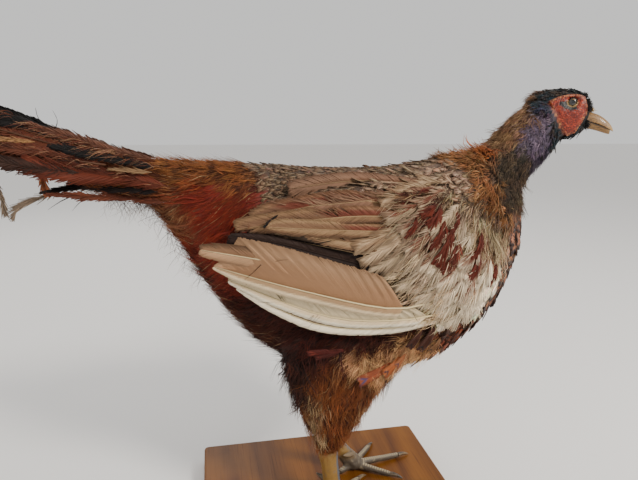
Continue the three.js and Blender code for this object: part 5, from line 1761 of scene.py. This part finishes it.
hornBill, hornClaw = billFinish(), clawFinish()
clawParts = [n for n in nodes if n.startswith("claw_")] + ["spur_right", "spur_left"]
for part in ["bill_upper", "bill_lower"] + clawParts:
    isBill = part.startswith("bill")
    piece = hornShape(part + "_horn", part, hornPlan["billSwell" if isBill else "clawSwell"])
    dress(piece, hornBill if isBill else hornClaw)
    ship(piece, "horn" if isBill else "claws", part)


woodPlan = {
    "grainPale": tint(124, 75, 20), "grainDark": tint(86, 46, 12), "pore": tint(65, 31, 12),
    "worn": tint(152, 100, 38),
}


def woodFinish():
    p = woodPlan
    finish = Finish("varnished board", Roughness=0.4, Specular_IOR_Level=0.2, Coat_Weight=0.06,
                    Coat_Roughness=0.2)
    x, y, z = finish.split(finish.objectPlace())
    bend = finish.noise(finish.join(x * 3, y * 1.2, z * 3), 3.0, 2, 0.5)
    ringAt = (x + z * 0.6) * 46 + bend * 2.6
    rings = finish.noise(finish.join(ringAt, y * 1.2, 0.0), 1.0, 2, 0.4)
    band = finish.step(rings, 0.30, 0.72)
    fibre = finish.noise(finish.join(x * 900, y * 16, z * 900), 1.0, 4, 0.6)
    stain = finish.noise(finish.objectPlace(), 9, 3, 0.5)
    color = finish.mix(band, p["grainPale"], p["grainDark"])
    color = finish.mix(finish.step(fibre, 0.48, 0.76) * 0.65, color, p["pore"])
    color = finish.mix(finish.step(stain, 0.5, 0.75) * 0.35, color, p["worn"])
    finish.surface(Base_Color=color, Roughness=0.36 + fibre * 0.16)
    finish.bump(fibre * 0.5 + band * 0.4, 0.25, 0.0003)
    return finish


dress(nodes["base_board"], woodFinish())


view = {"place": (-0.103, -0.470, 0.363), "heading": 11.4, "dip": 11.35, "roll": 0.12, "lens": 30.47}
studioLights = {  # place, aim, power, size and colour
    "key": ((1.0, -1.15, 1.35), (0.05, 0, 0.22), 34, 0.4, (1, 0.95, 0.87)),
    "fill": ((-1.4, -1.3, 0.9), (0, 0, 0.25), 3, 1.6, (0.97, 0.98, 1)),
    "back": ((-0.4, 1.6, 1.5), (0, 0, 0.3), 10, 1.2, (1, 0.98, 0.95)),
}
studioAir = {"color": (0.95, 0.945, 0.93, 1), "strength": 0.85, "floor": (0.86, 0.84, 0.82, 1)}


def addCamera():
    heading, dip, roll = (math.radians(view[k]) for k in ("heading", "dip", "roll"))
    forward = Vector((math.sin(heading) * math.cos(dip), math.cos(heading) * math.cos(dip), -math.sin(dip)))
    right = Vector((math.cos(heading), -math.sin(heading), 0))
    up = right.cross(forward)
    turnedRight = right * math.cos(roll) + up * math.sin(roll)
    turnedUp = up * math.cos(roll) - right * math.sin(roll)
    camera = newObject("camera", bpy.data.cameras.new("camera"))
    camera.matrix_world = Matrix((turnedRight, turnedUp, -forward)).transposed().to_4x4()
    camera.location = view["place"]
    camera.data.lens = view["lens"]
    camera.data.sensor_width = 36
    camera.data.clip_start = 0.01
    bpy.context.scene.camera = camera


def addLight(name, place, aim, power, size, color):
    lamp = bpy.data.lights.new(name, "AREA")
    lamp.energy = power
    lamp.size = size
    lamp.color = color
    thing = newObject(name, lamp)
    thing.location = place
    thing.rotation_euler = (Vector(aim) - Vector(place)).to_track_quat("-Z", "Y").to_euler()


def addStudio():
    bpy.ops.object.select_all(action="DESELECT")
    bpy.ops.mesh.primitive_plane_add(size=30)
    floor = bpy.context.object
    floor.name = "floor"
    dress(floor, Finish("pale floor", Base_Color=studioAir["floor"], Roughness=0.9))
    for name, light in studioLights.items():
        addLight(name, *light)
    world = bpy.data.worlds.new("studio")
    bpy.context.scene.world = world
    world.use_nodes = True
    background = world.node_tree.nodes["Background"]
    background.inputs["Color"].default_value = studioAir["color"]
    background.inputs["Strength"].default_value = studioAir["strength"]


addCamera()
addStudio()
print("camera and studio set")
